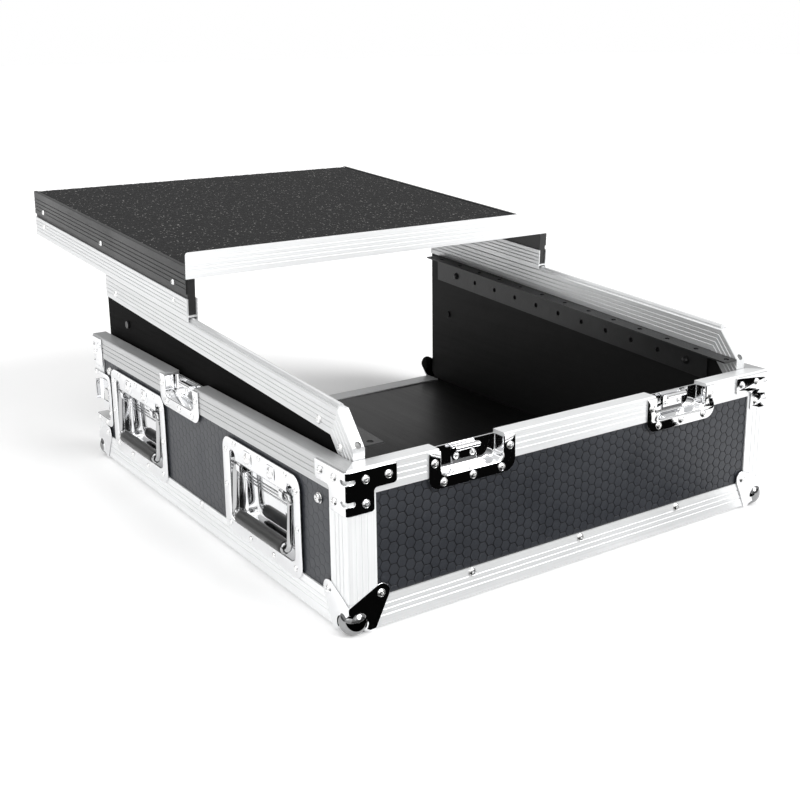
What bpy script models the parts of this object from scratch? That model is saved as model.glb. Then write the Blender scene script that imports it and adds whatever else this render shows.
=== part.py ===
# Slant mixer flight case: the open base of a 19-inch top-mount case with its sliding laptop shelf.
# Metres, +Z up, +Y towards the open back; the origin is under the middle of the whole object.
import math

import bmesh
import bpy
from mathutils import Matrix, Vector

# Tray
case_width = 0.546
case_depth = 0.608
tray_height = 0.155
ply = 0.009
skin = 0.0015            # aluminium wall
fit = 0.0003             # clearance between pieces that touch
rail_face = 0.026        # height of the top rail's outer face
rail_width = 0.017       # width of the top rail's flat top
rail_head = 0.007        # depth of the solid head above the panel slot
rail_lip = 0.018         # reach of the top rail's inner wall, from the top
rail_edge = 0.001        # chamfer of the extrusions' outer edges
rail_groove_drop = 0.0075  # first groove below the top edge
post_face = 0.030
post_groove_first = 0.0205
post_groove_pitch = 0.006
rear_post_leg = 0.017
bottom_face = 0.029
bottom_foot = 0.030
bottom_groove_drop = 0.0085
bottom_rivet_z = 0.0245
sill_foot = 0.025
groove_depth = 0.0006
groove_pitch = 0.0055

# How far a cutter reaches past what it cuts
clear_out = 0.01
clear_in = 0.02
drill = 0.06
short_drill = 0.01

# Pressed steel hardware
plate = 0.0012
rivet_radius = 0.0040
rivet_height = 0.0017
rivet_sink = 0.0004      # how far a rivet's head is set into the piece that it fixes
small_rivet_radius = 0.0032
big_rivet_radius = 0.0062
big_rivet_height = 0.0026
bracket_reach = 0.052
bracket_band = 0.0187
bracket_arm = 0.028
bracket_drop = 0.0405
bracket_inset = 0.0018
bracket_rivets = ((0.0428, 0.011), (0.019, 0.011), (0.019, 0.0335))  # from the corner, below the top
bracket_slots = (0.0112, 0.0312)                                     # below the top
bracket_slot = (0.007, 0.03, 0.0036)
rear_bracket_reach = 0.0305
rear_bracket_drop = 0.0355
rear_bracket_rivets = ((0.025, 0.010), (0.0093, 0.0215))
ball_radius = 0.0135
ball_inset = 0.009
ball_flat = 0.0005
ball_far = 0.04          # well clear of a ball, for what trims it
corner_cut = 0.020       # where the case's corner is cut off under a ball, along each edge
lobe_place = 0.033
lobe_radius = 0.0093
lobe_foot = 0.027

# Catch dishes, with heights below the tray's top
catch_width = 0.100
catch_mouth = 0.072
catch_drop = 0.038
catch_chamfer = 0.012
catch_depth = 0.0138
catch_floor_drop = 0.026
catch_rim = 0.0033
catch_bridge = 0.004     # depth of the rail's top that a dish leaves whole
front_catch_inset = 0.136  # from the case's corner to the middle of a front catch
side_catch_front = 0.0445  # from the rear handle's dish to the middle of the side catch
catch_rivets = ((-0.0435, 0.0125), (-0.0335, 0.0322), (0, 0.0322), (0.0335, 0.0322), (0.0435, 0.0125))
hook_half = 0.014
hook_sheet = 0.0014
hook_foot = 0.003
hook_drop = 0.0045
hook_reach = 0.0085
hook_nose = 0.0013
hook_rivet_half = 0.0095
hook_rivet_drop = 0.016

# Recessed handles
handle_width = 0.160
handle_low = 0.020
handle_drop = 0.031      # from the tray's top to the dish's top
handle_corner = 0.014
handle_side_rim = 0.0135
handle_low_rim = 0.015
handle_cover = 0.0225    # height of the cover over the pivots
handle_slot_drop = 0.013
handle_slot_width = 0.013
handle_mouth_corner = 0.006
handle_box_drop = 0.003
handle_cavity = 0.0162
handle_front_gap = 0.029
handle_rear_gap = 0.005
bail_rod = 0.0035
bail_side_gap = 0.0095
bail_pivot_depth = 0.002
bail_pivot_drop = 0.027
bail_low_gap = 0.0085
bail_lean = 0.003
bail_bend = 0.007
bail_stub_length = 0.019
grip_radius = 0.007
grip_end_gap = 0.003
grip_edge = 0.0015
lug_width = 0.007
lug_half = 0.0055
lug_front = 0.0015
lug_inset = 0.006
lug_play = 0.0006
cover_rivet_half = 0.024
cover_rivet_drop = 0.0115
handle_top_rivets = ((0.027, 0.0045), (0.0073, 0.015), (0.0068, 0.053))  # from the side, below the top
handle_low_rivets = ((0.056, 0.0072), (0.012, 0.010))                    # from the side, above the foot

# Rear butterfly latches
latch_inset = 0.021      # from the case's back to the hub's axis
latch_low = 0.043
latch_drop = 0.0445      # from the tray's top to the dish's top
latch_rise = 0.00225     # of the hub above the dish's middle
latch_low_rim = 0.009
latch_high_rim = 0.0065
latch_front_rim = 0.0085
latch_corner = 0.010
claw_play = 0.0008
claw_sheet = 0.002
claw_front = 0.014
claw_stand = 0.013       # how far the claw stands out behind the case
claw_hook = 0.0015
claw_bend = 0.003
claw_lip = 0.008
hub_height = 0.0072
hub_corner = 0.002
wing_gap = 0.008
wing_turn_gap = 0.004
wing_half = 0.0035
pin_stand = 0.004        # of the wings' pin, in front of the hub's back
wing_edge = 0.0015
tail_steps = 6           # flats round an ear's tail
pin_radius = 0.0014
pin_end = 0.001
latch_side_rivets = ((0.0043, 0.016), (0.0043, -0.017))  # behind the dish's front edge, above the hub
latch_rivet_back = 0.008
latch_rivet_front = 0.0185
latch_rivet_high = 0.0033
latch_rivet_low = 0.0045

# Wedge sides with the slanted rails
wedge_clearance = 0.0012
wedge_back_inset = 0.0094
slant_stand = 0.0476     # height of the rail's lower edge over the tray's top, at the back
slant_angle = math.radians(3.5)
leg_angle = math.radians(49.8)
cap_depth = 0.0273
cap_web = 0.002
cap_groove_first = 0.021
cap_groove_pitch = 0.0048
fold_y = 0.0426          # where the rail's top folds down into the front leg
bead_width = 0.006
bead_height = 0.004
bead_sink = 0.0008
bead_end = 0.004
wedge_chamfer = 0.009
leg_hole_radius = 0.0035
tongue_length = 0.030    # of the web, folded upright behind the front wall
leg_hole_rise = 0.0022
leg_hole_depth = 0.003
slant_back_rivet = (0.032, 0.0095)   # from the rail's back end, height in the section
slant_fold_rivet = (0.0331, 0.0078)  # from the fold, height in the section
leg_rivet = (0.0205, 0.0078)         # below the fold along the leg, height in the section

# Rack rails
rack_pitch = 0.04445
rack_hole_inset = 0.0097  # sets the 465 mm hole spacing of a 19-inch rack
rack_sheet = 0.0016
rack_flange = 0.020
rack_leg = 0.036
rack_back_inset = 0.0176
rack_leg_front = 0.060
rack_leg_hole_drop = 0.0215
rack_leg_first = 0.06395  # from the slanted line's back end to the leg's first hole
rack_hole_radius = 0.0034
rack_flange_first = 0.0246
rack_end = 0.006         # least length of rail past its last hole

# Bolts
bolt_radius = 0.0025
bolt_hole = 0.003
bolt_head = 0.0046
bolt_crown = 0.003
washer_radius = 0.0054
washer = 0.001
nut_height = 0.002
front_bolt = (0.0495, 0.040)    # behind the case's front, below the tray's top
rear_bolt = (0.050, 0.0382)     # ahead of the case's back, below the tray's top

# Sliding shelf, in the slanted frame
shelf_length = 0.505
shelf_back = 0.263       # how far the shelf stands behind the wedge's back end
channel_depth = 0.0253
channel_web = 0.002
channel_clearance = 0.001
channel_groove_drop = 0.005
channel_groove_pitch = 0.0046
channel_rivet_drop = 0.0085
shelf_gap = 0.005        # ply that shows between the lower channel and the upper trim
trim_depth = 0.031
trim_groove_drop = 0.010
trim_groove_pitch = 0.005
trim_edge = 0.0006
trim_rivet_rise = 0.0066
carpet_thickness = 0.003
trim_lip = 0.0045
trim_lip_sheet = 0.001
lip_height = 0.0292
lip_leg = 0.028
lip_corner = 0.003
lip_groove_drop = 0.0075
lip_margin = 0.001
shelf_rivet_end = 0.0355  # from the shelf's end to the first rivet

half_width = case_width / 2
panel_face = skin + fit
panel_back = panel_face + ply
panel_top = tray_height - rail_head - fit
cap_width = ply + 2 * panel_face
cut_margin = plate + fit
proud = -fit - plate     # depth of a pressed plate's face, outside the wall

wedge_outer = half_width - rail_width - wedge_clearance
wedge_inner = wedge_outer - cap_width
wedge_front = rail_width + 3 * fit
ply_front = wedge_front + skin + fit
wedge_back = case_depth - wedge_back_inset
slant_base = tray_height + slant_stand
slant_length = (wedge_back - fold_y) / math.cos(slant_angle)
floor_top = panel_back

latch_y = case_depth - latch_inset
latch_high = tray_height - latch_drop
latch_z = (latch_low + latch_high) / 2 + latch_rise
latch_recess_low = latch_low + latch_low_rim
latch_recess_high = latch_high - latch_high_rim
latch_room = latch_z - latch_recess_low
wing_reach = latch_room - wing_gap
latch_recess_start = latch_y - wing_reach - wing_turn_gap
latch_start = latch_recess_start - latch_front_rim
hub_half = latch_room * 0.26
claw_half = latch_room * 0.48
eccentric_radius = latch_room * 0.185
eccentric_throw = latch_room * 0.111

handle_high = tray_height - handle_drop
handle_mouth = handle_width - 2 * handle_side_rim
handle_mouth_low = handle_low + handle_low_rim
handle_mouth_high = handle_high - handle_cover
handle_slot_high = handle_high - handle_slot_drop
handle_near_y = bracket_reach + handle_front_gap + handle_width / 2
handle_far_y = latch_start - handle_rear_gap - handle_width / 2
bail_pivot_z = handle_high - bail_pivot_drop
bail_drop = bail_pivot_z - handle_mouth_low - bail_low_gap
bail_half = handle_mouth / 2 - bail_side_gap
bail_stub = bail_half - bail_stub_length
grip_half = bail_half - bail_bend - grip_end_gap

catch_floor = tray_height - catch_floor_drop
catch_reach = catch_mouth / 2 + cut_margin
catch_under = catch_floor - cut_margin
front_catch_x = half_width - front_catch_inset
side_catch_y = handle_far_y - handle_width / 2 - side_catch_front

rack_back = wedge_back - rack_back_inset
rack_hole_x = wedge_inner - rack_hole_inset
rack_leg_holes = 1 + int((rack_back - rack_leg_front - rack_leg_first) / rack_pitch)
rack_flange_holes = 1 + int((rack_back - rack_flange_first - rack_end) / rack_pitch)
rack_bolt_steps = (0, rack_leg_holes - 1)
wall_bolt_places = ((front_bolt[0], tray_height - front_bolt[1]),
                    (case_depth - rear_bolt[0], tray_height - rear_bolt[1]))

ball_proud = ball_radius - ball_inset - ball_flat
shelf_end_y = (wedge_back + shelf_back * math.cos(slant_angle)
               - (cap_depth + fit) * math.sin(slant_angle))
middle_y = (shelf_end_y - (ball_radius - ball_inset)) / 2

slant_run = Vector((0, math.cos(slant_angle), math.sin(slant_angle)))
slant_rise = Vector((0, -math.sin(slant_angle), math.cos(slant_angle)))
leg_run = Vector((0, math.cos(leg_angle), math.sin(leg_angle)))

aluminium = ((0.80, 0.81, 0.82), 0.34, 1.0)
shaded_aluminium = ((0.66, 0.68, 0.67), 0.36, 1.0)
laminate = ((0.045, 0.047, 0.052), 0.42, 0.0)
black_ply = ((0.022, 0.022, 0.024), 0.55, 0.0)
chrome = ((0.86, 0.87, 0.88), 0.12, 1.0)
zinc = ((0.72, 0.74, 0.75), 0.28, 1.0)
black_steel = ((0.040, 0.042, 0.045), 0.45, 0.3)
rubber = ((0.018, 0.018, 0.020), 0.60, 0.0)
carpet = ((0.030, 0.032, 0.036), 0.95, 0.0)


def clear_scene():
    for thing in list(bpy.data.objects):
        bpy.data.objects.remove(thing, do_unlink=True)


def make_material(name, finish):
    colour, roughness, metallic = finish
    material = bpy.data.materials.new(name)
    material.use_nodes = True
    shader = material.node_tree.nodes["Principled BSDF"]
    shader.inputs["Base Color"].default_value = (*colour, 1.0)
    shader.inputs["Roughness"].default_value = roughness
    shader.inputs["Metallic"].default_value = metallic
    return material


def prism(bm, outline, low, high, place):
    """Extrude a flat outline; low and high may depend on the outline's point, which mitres an end."""
    at_low = low if callable(low) else lambda u, v: low
    at_high = high if callable(high) else lambda u, v: high
    corners = [bm.verts.new(place(u, v, at_low(u, v))) for u, v in outline]
    first = bm.faces.new(corners)
    grown = bmesh.ops.extrude_face_region(bm, geom=[first], use_keep_orig=True)
    moved = [part for part in grown["geom"] if isinstance(part, bmesh.types.BMVert)]
    for (u, v), corner in zip(outline, corners):
        twin = min(moved, key=lambda vert: (vert.co - corner.co).length_squared)
        moved.remove(twin)
        twin.co = place(u, v, at_high(u, v))
    bmesh.ops.recalc_face_normals(bm, faces=bm.faces)


def turned(bm, profile, steps, matrix):
    """Spin a profile of (radius, height) points about local Z, then place it with the matrix."""
    fresh = bmesh.new()
    points = [fresh.verts.new((radius, 0, height)) for radius, height in profile]
    closed = profile[0][0] > 1e-6
    pairs = list(zip(points, points[1:]))
    if closed:
        pairs.append((points[-1], points[0]))
    edges = [fresh.edges.new(pair) for pair in pairs]
    bmesh.ops.spin(fresh, geom=points + edges, cent=(0, 0, 0), axis=(0, 0, 1), angle=2 * math.pi,
                   steps=steps, use_merge=True)
    bmesh.ops.remove_doubles(fresh, verts=fresh.verts, dist=1e-6)
    bmesh.ops.recalc_face_normals(fresh, faces=fresh.faces)
    fresh.transform(matrix)
    merge_into(bm, fresh)


def merge_into(bm, fresh):
    mesh = bpy.data.meshes.new("piece")
    fresh.to_mesh(mesh)
    fresh.free()
    bm.from_mesh(mesh)
    bpy.data.meshes.remove(mesh)


def box(bm, low, high):
    size = [b - a for a, b in zip(low, high)]
    centre = [(a + b) / 2 for a, b in zip(low, high)]
    matrix = Matrix.Translation(centre) @ Matrix.Diagonal((*size, 1))
    bmesh.ops.create_cube(bm, size=1.0, matrix=matrix)


def block(bm, corner, opposite):
    """Box between two opposite corners given in any order."""
    box(bm, [min(pair) for pair in zip(corner, opposite)], [max(pair) for pair in zip(corner, opposite)])


def rounded(low_u, high_u, low_v, high_v, radii, steps=3):
    """Rectangle with its own radius at each corner: low-low, high-low, high-high, low-high."""
    corners = [(low_u, low_v, 1, 1, 180), (high_u, low_v, -1, 1, 270),
               (high_u, high_v, -1, -1, 0), (low_u, high_v, 1, -1, 90)]
    outline = []
    for (u, v, su, sv, start), radius in zip(corners, radii):
        if radius == 0:
            outline.append((u, v))
            continue
        for step in range(steps + 1):
            angle = math.radians(start + 90 * step / steps)
            outline.append((u + su * radius + radius * math.cos(angle),
                            v + sv * radius + radius * math.sin(angle)))
    return outline


def grooves(first, count, pitch=groove_pitch, depth=groove_depth):
    """Points of V grooves along a face at depth 0, as (depth, place) with the place falling."""
    points = []
    for index in range(count):
        middle = first - index * pitch
        points += [(0, middle + depth), (depth, middle), (0, middle - depth)]
    return points


def finish_mesh(bm, name):
    bmesh.ops.recalc_face_normals(bm, faces=bm.faces)
    mesh = bpy.data.meshes.new(name)
    bm.to_mesh(mesh)
    bm.free()
    return mesh


def add_part(name, bm, finish, parent, origin=(0, 0, 0), smooth=False):
    """Make the node: its mesh is drawn in its parent's frame and its origin moved to the given point."""
    bm.transform(Matrix.Translation(-Vector(origin)))
    mesh = finish_mesh(bm, name)
    if smooth:
        mesh.shade_smooth()
        mesh.set_sharp_from_angle(angle=math.radians(35))
    part = bpy.data.objects.new(name, mesh)
    part.location = origin
    part.parent = parent
    mesh.materials.append(make_material(name, finish))
    parts.objects.link(part)
    return part


def add_empty(name, location, parent=None, tilt=0.0):
    empty = bpy.data.objects.new(name, None)
    empty.location = location
    empty.rotation_euler.x = tilt
    empty.parent = parent
    parts.objects.link(empty)
    return empty


def combine(bm, tool, operation):
    """Boolean of two closed meshes; returns the result as a fresh bmesh."""
    bodies = []
    for label, source in (("body", bm), ("tool", tool)):
        thing = bpy.data.objects.new(label, finish_mesh(source, label))
        bpy.context.scene.collection.objects.link(thing)
        bodies.append(thing)
    body, cutter = bodies
    boolean = body.modifiers.new("combine", "BOOLEAN")
    boolean.operation = operation
    boolean.solver = "EXACT"
    boolean.object = cutter
    bpy.context.view_layer.update()
    evaluated = body.evaluated_get(bpy.context.evaluated_depsgraph_get())
    mesh = bpy.data.meshes.new_from_object(evaluated)
    result = bmesh.new()
    result.from_mesh(mesh)
    for thing in bodies:
        bpy.data.objects.remove(thing, do_unlink=True)
    bpy.data.meshes.remove(mesh)
    bmesh.ops.remove_doubles(result, verts=result.verts, dist=1e-6)
    bmesh.ops.dissolve_degenerate(result, edges=result.edges, dist=1e-6)
    return result


def cut(bm, tool):
    return combine(bm, tool, "DIFFERENCE")


def join(bm, tool):
    return combine(bm, tool, "UNION")


def on_side(side):
    """Place (y, z, depth) on the left (-1) or right (+1) wall, depth running inward."""
    return lambda y, z, depth: Vector((side * (half_width - depth), y, z))


def on_front(x, z, depth):
    return Vector((x, depth, z))


def on_back(x, z, depth):
    return Vector((x, case_depth - depth, z))


def rivet(bm, point, outward, radius=rivet_radius, height=rivet_height):
    """A low domed head on the face at the point, sunk a little so that it joins what it fixes."""
    outward = Vector(outward)
    turn = outward.to_track_quat("Z", "Y").to_matrix().to_4x4()
    centre = Vector(point) + outward * (height - rivet_sink) / 2
    bmesh.ops.create_cone(bm, cap_ends=True, segments=8, radius1=radius, radius2=radius * 0.5,
                          depth=height + rivet_sink, matrix=Matrix.Translation(centre) @ turn)


def make_panels(base):
    front = bmesh.new()
    box(front, (-half_width + panel_face, panel_face, panel_face),
        (half_width - panel_face, panel_back, panel_top))
    notches = bmesh.new()
    for side in (-1, 1):
        x = side * front_catch_x
        box(notches, (x - catch_reach, -clear_out, catch_under), (x + catch_reach, clear_in, tray_height))
    front = off_corners(cut(front, notches))
    add_part("front_panel", front, laminate, base, (0, panel_face, panel_face))

    floor = bmesh.new()
    reach = half_width - panel_back - fit
    box(floor, (-reach, panel_back + fit, panel_face), (reach, case_depth - panel_face, floor_top))
    floor = off_corners(floor)
    add_part("floor_panel", floor, black_ply, base, (0, case_depth / 2, panel_face))

    for side, label in sides:
        wall = bmesh.new()
        at = on_side(side)
        prism(wall, [(panel_back + fit, panel_face), (case_depth - panel_face, panel_face),
                     (case_depth - panel_face, panel_top), (panel_back + fit, panel_top)],
              panel_face, panel_back, at)
        cutters = bmesh.new()
        near = side_catch_y - catch_reach
        far = side_catch_y + catch_reach
        prism(cutters, [(near, catch_under), (far, catch_under), (far, tray_height), (near, tray_height)],
              -clear_out, clear_in, at)
        for y in (handle_near_y, handle_far_y):
            prism(cutters, handle_box(y, cut_margin), -clear_out, clear_in, at)
        prism(cutters, latch_box(cut_margin, case_depth + clear_out), -clear_out, clear_in, at)
        for y, z in wall_bolt_places:
            hole(cutters, at(y, z, 0), bolt_hole, drill)
        wall = off_corners(cut(wall, cutters))
        add_part(label + "_panel", wall, laminate, base, at(case_depth / 2, panel_face, panel_face))


def handle_box(y, margin):
    """Outline in (y, z) of a handle dish's box, grown by the margin."""
    half = handle_mouth / 2 + fit + margin
    low = handle_mouth_low - fit - margin
    high = handle_high - handle_box_drop + margin
    return [(y - half, low), (y + half, low), (y + half, high), (y - half, high)]


def hole(bm, point, radius, length, axis="X", segments=8):
    turn = {"X": Matrix.Rotation(math.pi / 2, 4, "Y"), "Y": Matrix.Rotation(math.pi / 2, 4, "X"),
            "Z": Matrix.Identity(4)}[axis]
    bmesh.ops.create_cone(bm, cap_ends=True, segments=segments, radius1=radius, radius2=radius,
                          depth=length, matrix=Matrix.Translation(point) @ turn)


def top_rail_profile():
    """Section of the top rail as (depth, z), with the slot for the panel below its head."""
    top = tray_height
    slot = panel_back + fit
    return ([(rail_edge, top), (0, top - rail_edge)] + grooves(top - rail_groove_drop, 3)
            + [(0, top - rail_face), (skin, top - rail_face), (skin, top - rail_head),
               (slot, top - rail_head), (slot, top - rail_lip), (slot + skin, top - rail_lip),
               (slot + skin, top - rail_head), (rail_width, top - rail_head), (rail_width, top)])


def bottom_rail_profile():
    return ([(0, bottom_face)] + grooves(bottom_face - bottom_groove_drop, 3)
            + [(0, 0), (bottom_foot, 0), (bottom_foot, skin), (skin, skin), (skin, bottom_face)])


def corner_tips(bm, cut_at):
    """Cutters for the case's four low corners: the tips up to a plane across the three edges."""
    past = clear_out
    for side in (-1, 1):
        for y, inward in ((0, 1), (case_depth, -1)):
            reach = cut_at + 2 * past
            tip = [bm.verts.new((side * (half_width - across), y + inward * along, up))
                   for across, along, up in ((-past, -past, -past), (reach, -past, -past),
                                             (-past, reach, -past), (-past, -past, reach))]
            for skipped in range(4):
                bm.faces.new([corner for index, corner in enumerate(tip) if index != skipped])
    bmesh.ops.recalc_face_normals(bm, faces=bm.faces)


def off_corners(bm):
    """The piece with its tips cut off under the ball corners."""
    tips = bmesh.new()
    corner_tips(tips, corner_cut + fit * math.sqrt(3))
    return cut(bm, tips)


def catch_notch(bm, middle, place):
    """Cutter that lets a catch dish into a top rail and keeps a low strip of it behind the dish."""
    behind = catch_depth + cut_margin
    bridge = tray_height - catch_bridge
    above = tray_height + clear_out
    past = rail_width + clear_out
    prism(bm, [(-clear_out, catch_under), (behind, catch_under), (behind, bridge), (past, bridge),
               (past, above), (-clear_out, above)], middle - catch_reach, middle + catch_reach, place)


def make_rails(base):
    half_fit = fit / 2
    front_place = lambda depth, z, x: Vector((x, depth, z))
    for name, profile, notched in (("front_top_rail", top_rail_profile(), True),
                                   ("front_bottom_rail", bottom_rail_profile(), False)):
        rail = bmesh.new()
        prism(rail, profile, lambda d, z: -half_width + d + half_fit,
              lambda d, z: half_width - d - half_fit, front_place)
        if notched:
            cutters = bmesh.new()
            for side in (-1, 1):
                catch_notch(cutters, side * front_catch_x, front_place)
            rail = cut(rail, cutters)
        else:
            heads = bmesh.new()
            for x in (-front_catch_x, 0, front_catch_x):
                rivet(heads, on_front(x, bottom_rivet_z, 0), (0, -1, 0))
            rail = off_corners(join(rail, heads))
        height = tray_height if notched else 0
        add_part(name, rail, aluminium, base, (0, 0, height))
    for side, label in sides:
        side_place = lambda depth, z, y, side=side: Vector((side * (half_width - depth), y, z))
        for kind, profile, notched in (("_top_rail", top_rail_profile(), True),
                                       ("_bottom_rail", bottom_rail_profile(), False)):
            rail = bmesh.new()
            prism(rail, profile, lambda d, z: d + half_fit, case_depth, side_place)
            if notched:
                cutters = bmesh.new()
                catch_notch(cutters, side_catch_y, side_place)
                rail = cut(rail, cutters)
            else:
                heads = bmesh.new()
                rivet(heads, side_place(0, bottom_rivet_z, case_depth / 2), (side, 0, 0))
                rail = off_corners(join(rail, heads))
            height = tray_height if notched else 0
            add_part(label + kind, rail, aluminium, base, (side * half_width, case_depth / 2, height))

    sill = bmesh.new()
    reach = half_width - bottom_foot - fit
    top = floor_top + fit + skin
    prism(sill, [(0, 0), (sill_foot, 0), (sill_foot, skin), (skin, skin), (skin, top - skin),
                 (sill_foot, top - skin), (sill_foot, top), (0, top)], -reach, reach,
          lambda depth, z, x: Vector((x, case_depth - depth, z)))
    add_part("rear_sill", sill, aluminium, base, (0, case_depth, 0))


def post_profile(front_leg, side_leg):
    """Corner angle as (along the front, along the side), grooved on both faces."""
    side_grooves = grooves(post_groove_first, 3, post_groove_pitch)
    side_face = [(depth, place) for depth, place in reversed(side_grooves)]
    front_face = [(place, depth) for depth, place in grooves(front_leg * 0.68, 3, front_leg * 0.2)]
    round_corner = [(2 * rail_edge, 0), (0.6 * rail_edge, 0.6 * rail_edge), (0, 2 * rail_edge)]
    return ([(front_leg, skin), (front_leg, 0)] + front_face + round_corner
            + side_face + [(0, side_leg), (skin, side_leg), (skin, skin)])


def make_posts(base):
    low = bottom_face + fit
    high = tray_height - rail_face - fit
    for side, label in sides:
        for end, back in (("front", False), ("rear", True)):
            post = bmesh.new()
            if back:
                place = lambda a, b, z, side=side: Vector((side * (half_width - a), case_depth - b, z))
            else:
                place = lambda a, b, z, side=side: Vector((side * (half_width - a), b, z))
            prism(post, post_profile(rear_post_leg if back else post_face, post_face), low, high, place)
            if back:
                cutter = bmesh.new()
                prism(cutter, latch_box(cut_margin, case_depth + clear_out), -clear_out,
                      catch_depth + cut_margin, on_side(side))
                post = cut(post, cutter)
            y = case_depth if back else 0
            add_part(f"{end}_{label}_post", post, aluminium, base, (side * half_width, y, low))


def bracket_outline(reach, arm, drop):
    """Flag-shaped face of a corner bracket as (away from the corner, z)."""
    top = tray_height - bracket_inset
    shape = [(proud, top), (proud, top - drop), (arm, top - drop)]
    if reach > arm:
        shape += [(arm, top - bracket_band), (reach, top - bracket_band)]
    return shape + [(reach, top)]


def make_brackets(base):
    """Flag-shaped corner brackets at the front and plain ones at the back, wrapped round the posts."""
    for side, label in sides:
        at = on_side(side)
        for end, back in (("front", False), ("rear", True)):
            face = on_back if back else on_front
            front_reach = rear_post_leg - fit if back else bracket_reach
            front_arm = front_reach if back else bracket_arm
            side_reach = rear_bracket_reach if back else bracket_reach
            side_arm = side_reach if back else bracket_arm
            drop = rear_bracket_drop if back else bracket_drop

            def along_side(a, back=back):
                return case_depth - a if back else a

            bracket = bmesh.new()
            prism(bracket, bracket_outline(front_reach, front_arm, drop), proud, -fit,
                  lambda a, z, d, side=side, face=face: face(side * (half_width - a), z, d))
            flank = bmesh.new()
            prism(flank, bracket_outline(side_reach, side_arm, drop), proud, -fit,
                  lambda a, z, d, at=at, along_side=along_side: at(along_side(a), z, d))
            bracket = join(bracket, flank)

            slots = bmesh.new()
            turn = Matrix.Rotation(math.radians(45 if (side < 0) != back else -45), 4, "Z")
            slot_size = Matrix.Diagonal((*bracket_slot, 1))
            for drop in bracket_slots:
                centre = Matrix.Translation(at(along_side(0), tray_height - drop, 0))
                bmesh.ops.create_cube(slots, size=1.0, matrix=centre @ turn @ slot_size)
            bracket = cut(bracket, slots)

            heads = bmesh.new()
            for a, drop in (rear_bracket_rivets if back else bracket_rivets):
                z = tray_height - drop
                rivet(heads, at(along_side(a), z, proud), (side, 0, 0))
                across = front_reach / 2 if back else a
                rivet(heads, face(side * (half_width - across), z, proud), (0, 1 if back else -1, 0))
            bracket = join(bracket, heads)
            corner = (side * half_width, along_side(0), tray_height)
            add_part(f"{end}_{label}_corner_bracket", bracket, chrome, base, corner)


def lobe_outline():
    """Face of a ball corner as (away from one edge, away from the other): a foot and a round lobe."""
    distance = math.hypot(lobe_place - lobe_foot, lobe_place)
    heading = math.atan2(lobe_place, lobe_place - lobe_foot)
    spread = math.acos(lobe_radius / distance)
    start = heading + math.pi + spread - 2 * math.pi
    end = math.pi / 2 - start
    outline = [(proud, proud), (lobe_foot, proud)]
    steps = 7
    for step in range(steps + 1):
        angle = start + (end - start) * step / steps
        outline.append((lobe_place + lobe_radius * math.cos(angle),
                        lobe_place + lobe_radius * math.sin(angle)))
    outline.append((proud, lobe_foot))
    return outline


def corner_region(spot, face, cut_at):
    """The corner's inside, from the given depth inward, without its tip up to the given cut."""
    region = bmesh.new()
    block(region, spot(face, face, face), spot(ball_far, ball_far, ball_far))
    tips = bmesh.new()
    corner_tips(tips, cut_at)
    return cut(region, tips)


def make_ball_corners(base):
    outline = lobe_outline()
    for side, label in sides:
        for end, back in (("front", False), ("rear", True)):
            inward_x = -side
            inward_y = -1 if back else 1
            corner = Vector((side * half_width, case_depth if back else 0, 0))

            def spot(x, y, z):
                return corner + Vector((inward_x * x, inward_y * y, z))

            body = bmesh.new()
            bmesh.ops.create_uvsphere(body, u_segments=12, v_segments=8, radius=ball_radius,
                                      matrix=Matrix.Translation(spot(ball_inset, ball_inset, ball_inset)))
            shell = proud + plate / 2
            body = cut(body, corner_region(spot, shell, corner_cut))
            under = bmesh.new()
            block(under, spot(-ball_far, -ball_far, -ball_far), spot(ball_far, ball_far, -ball_proud))
            body = cut(body, under)
            facet_face = corner_cut - plate * math.sqrt(3)
            facet = cut(corner_region(spot, proud, facet_face), corner_region(spot, 2 * proud, corner_cut))
            body = join(body, facet)
            for place in (lambda u, v, w: spot(u, w, v), lambda u, v, w: spot(w, u, v),
                          lambda u, v, w: spot(u, v, w)):
                leaf = bmesh.new()
                prism(leaf, outline, proud, -fit, place)
                tips = bmesh.new()
                corner_tips(tips, (facet_face + corner_cut) / 2)
                body = join(body, cut(leaf, tips))
            heads = bmesh.new()
            rivet(heads, spot(lobe_place, proud, lobe_place), (0, -inward_y, 0))
            rivet(heads, spot(proud, lobe_place, lobe_place), (-inward_x, 0, 0))
            body = join(body, heads)
            add_part(f"{end}_{label}_ball_corner", body, chrome, base, corner, smooth=True)


def catch_outline():
    """Flange of a catch dish as (along the wall, z), with its lower corners cut off in two steps."""
    half = catch_width / 2
    top = tray_height - bracket_inset
    low = tray_height - catch_drop
    step = catch_chamfer * 0.3
    left = [(-half, top), (-half, low + catch_chamfer), (-half + step, low + step),
            (-half + catch_chamfer, low)]
    return left + [(-a, z) for a, z in reversed(left)]


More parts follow.
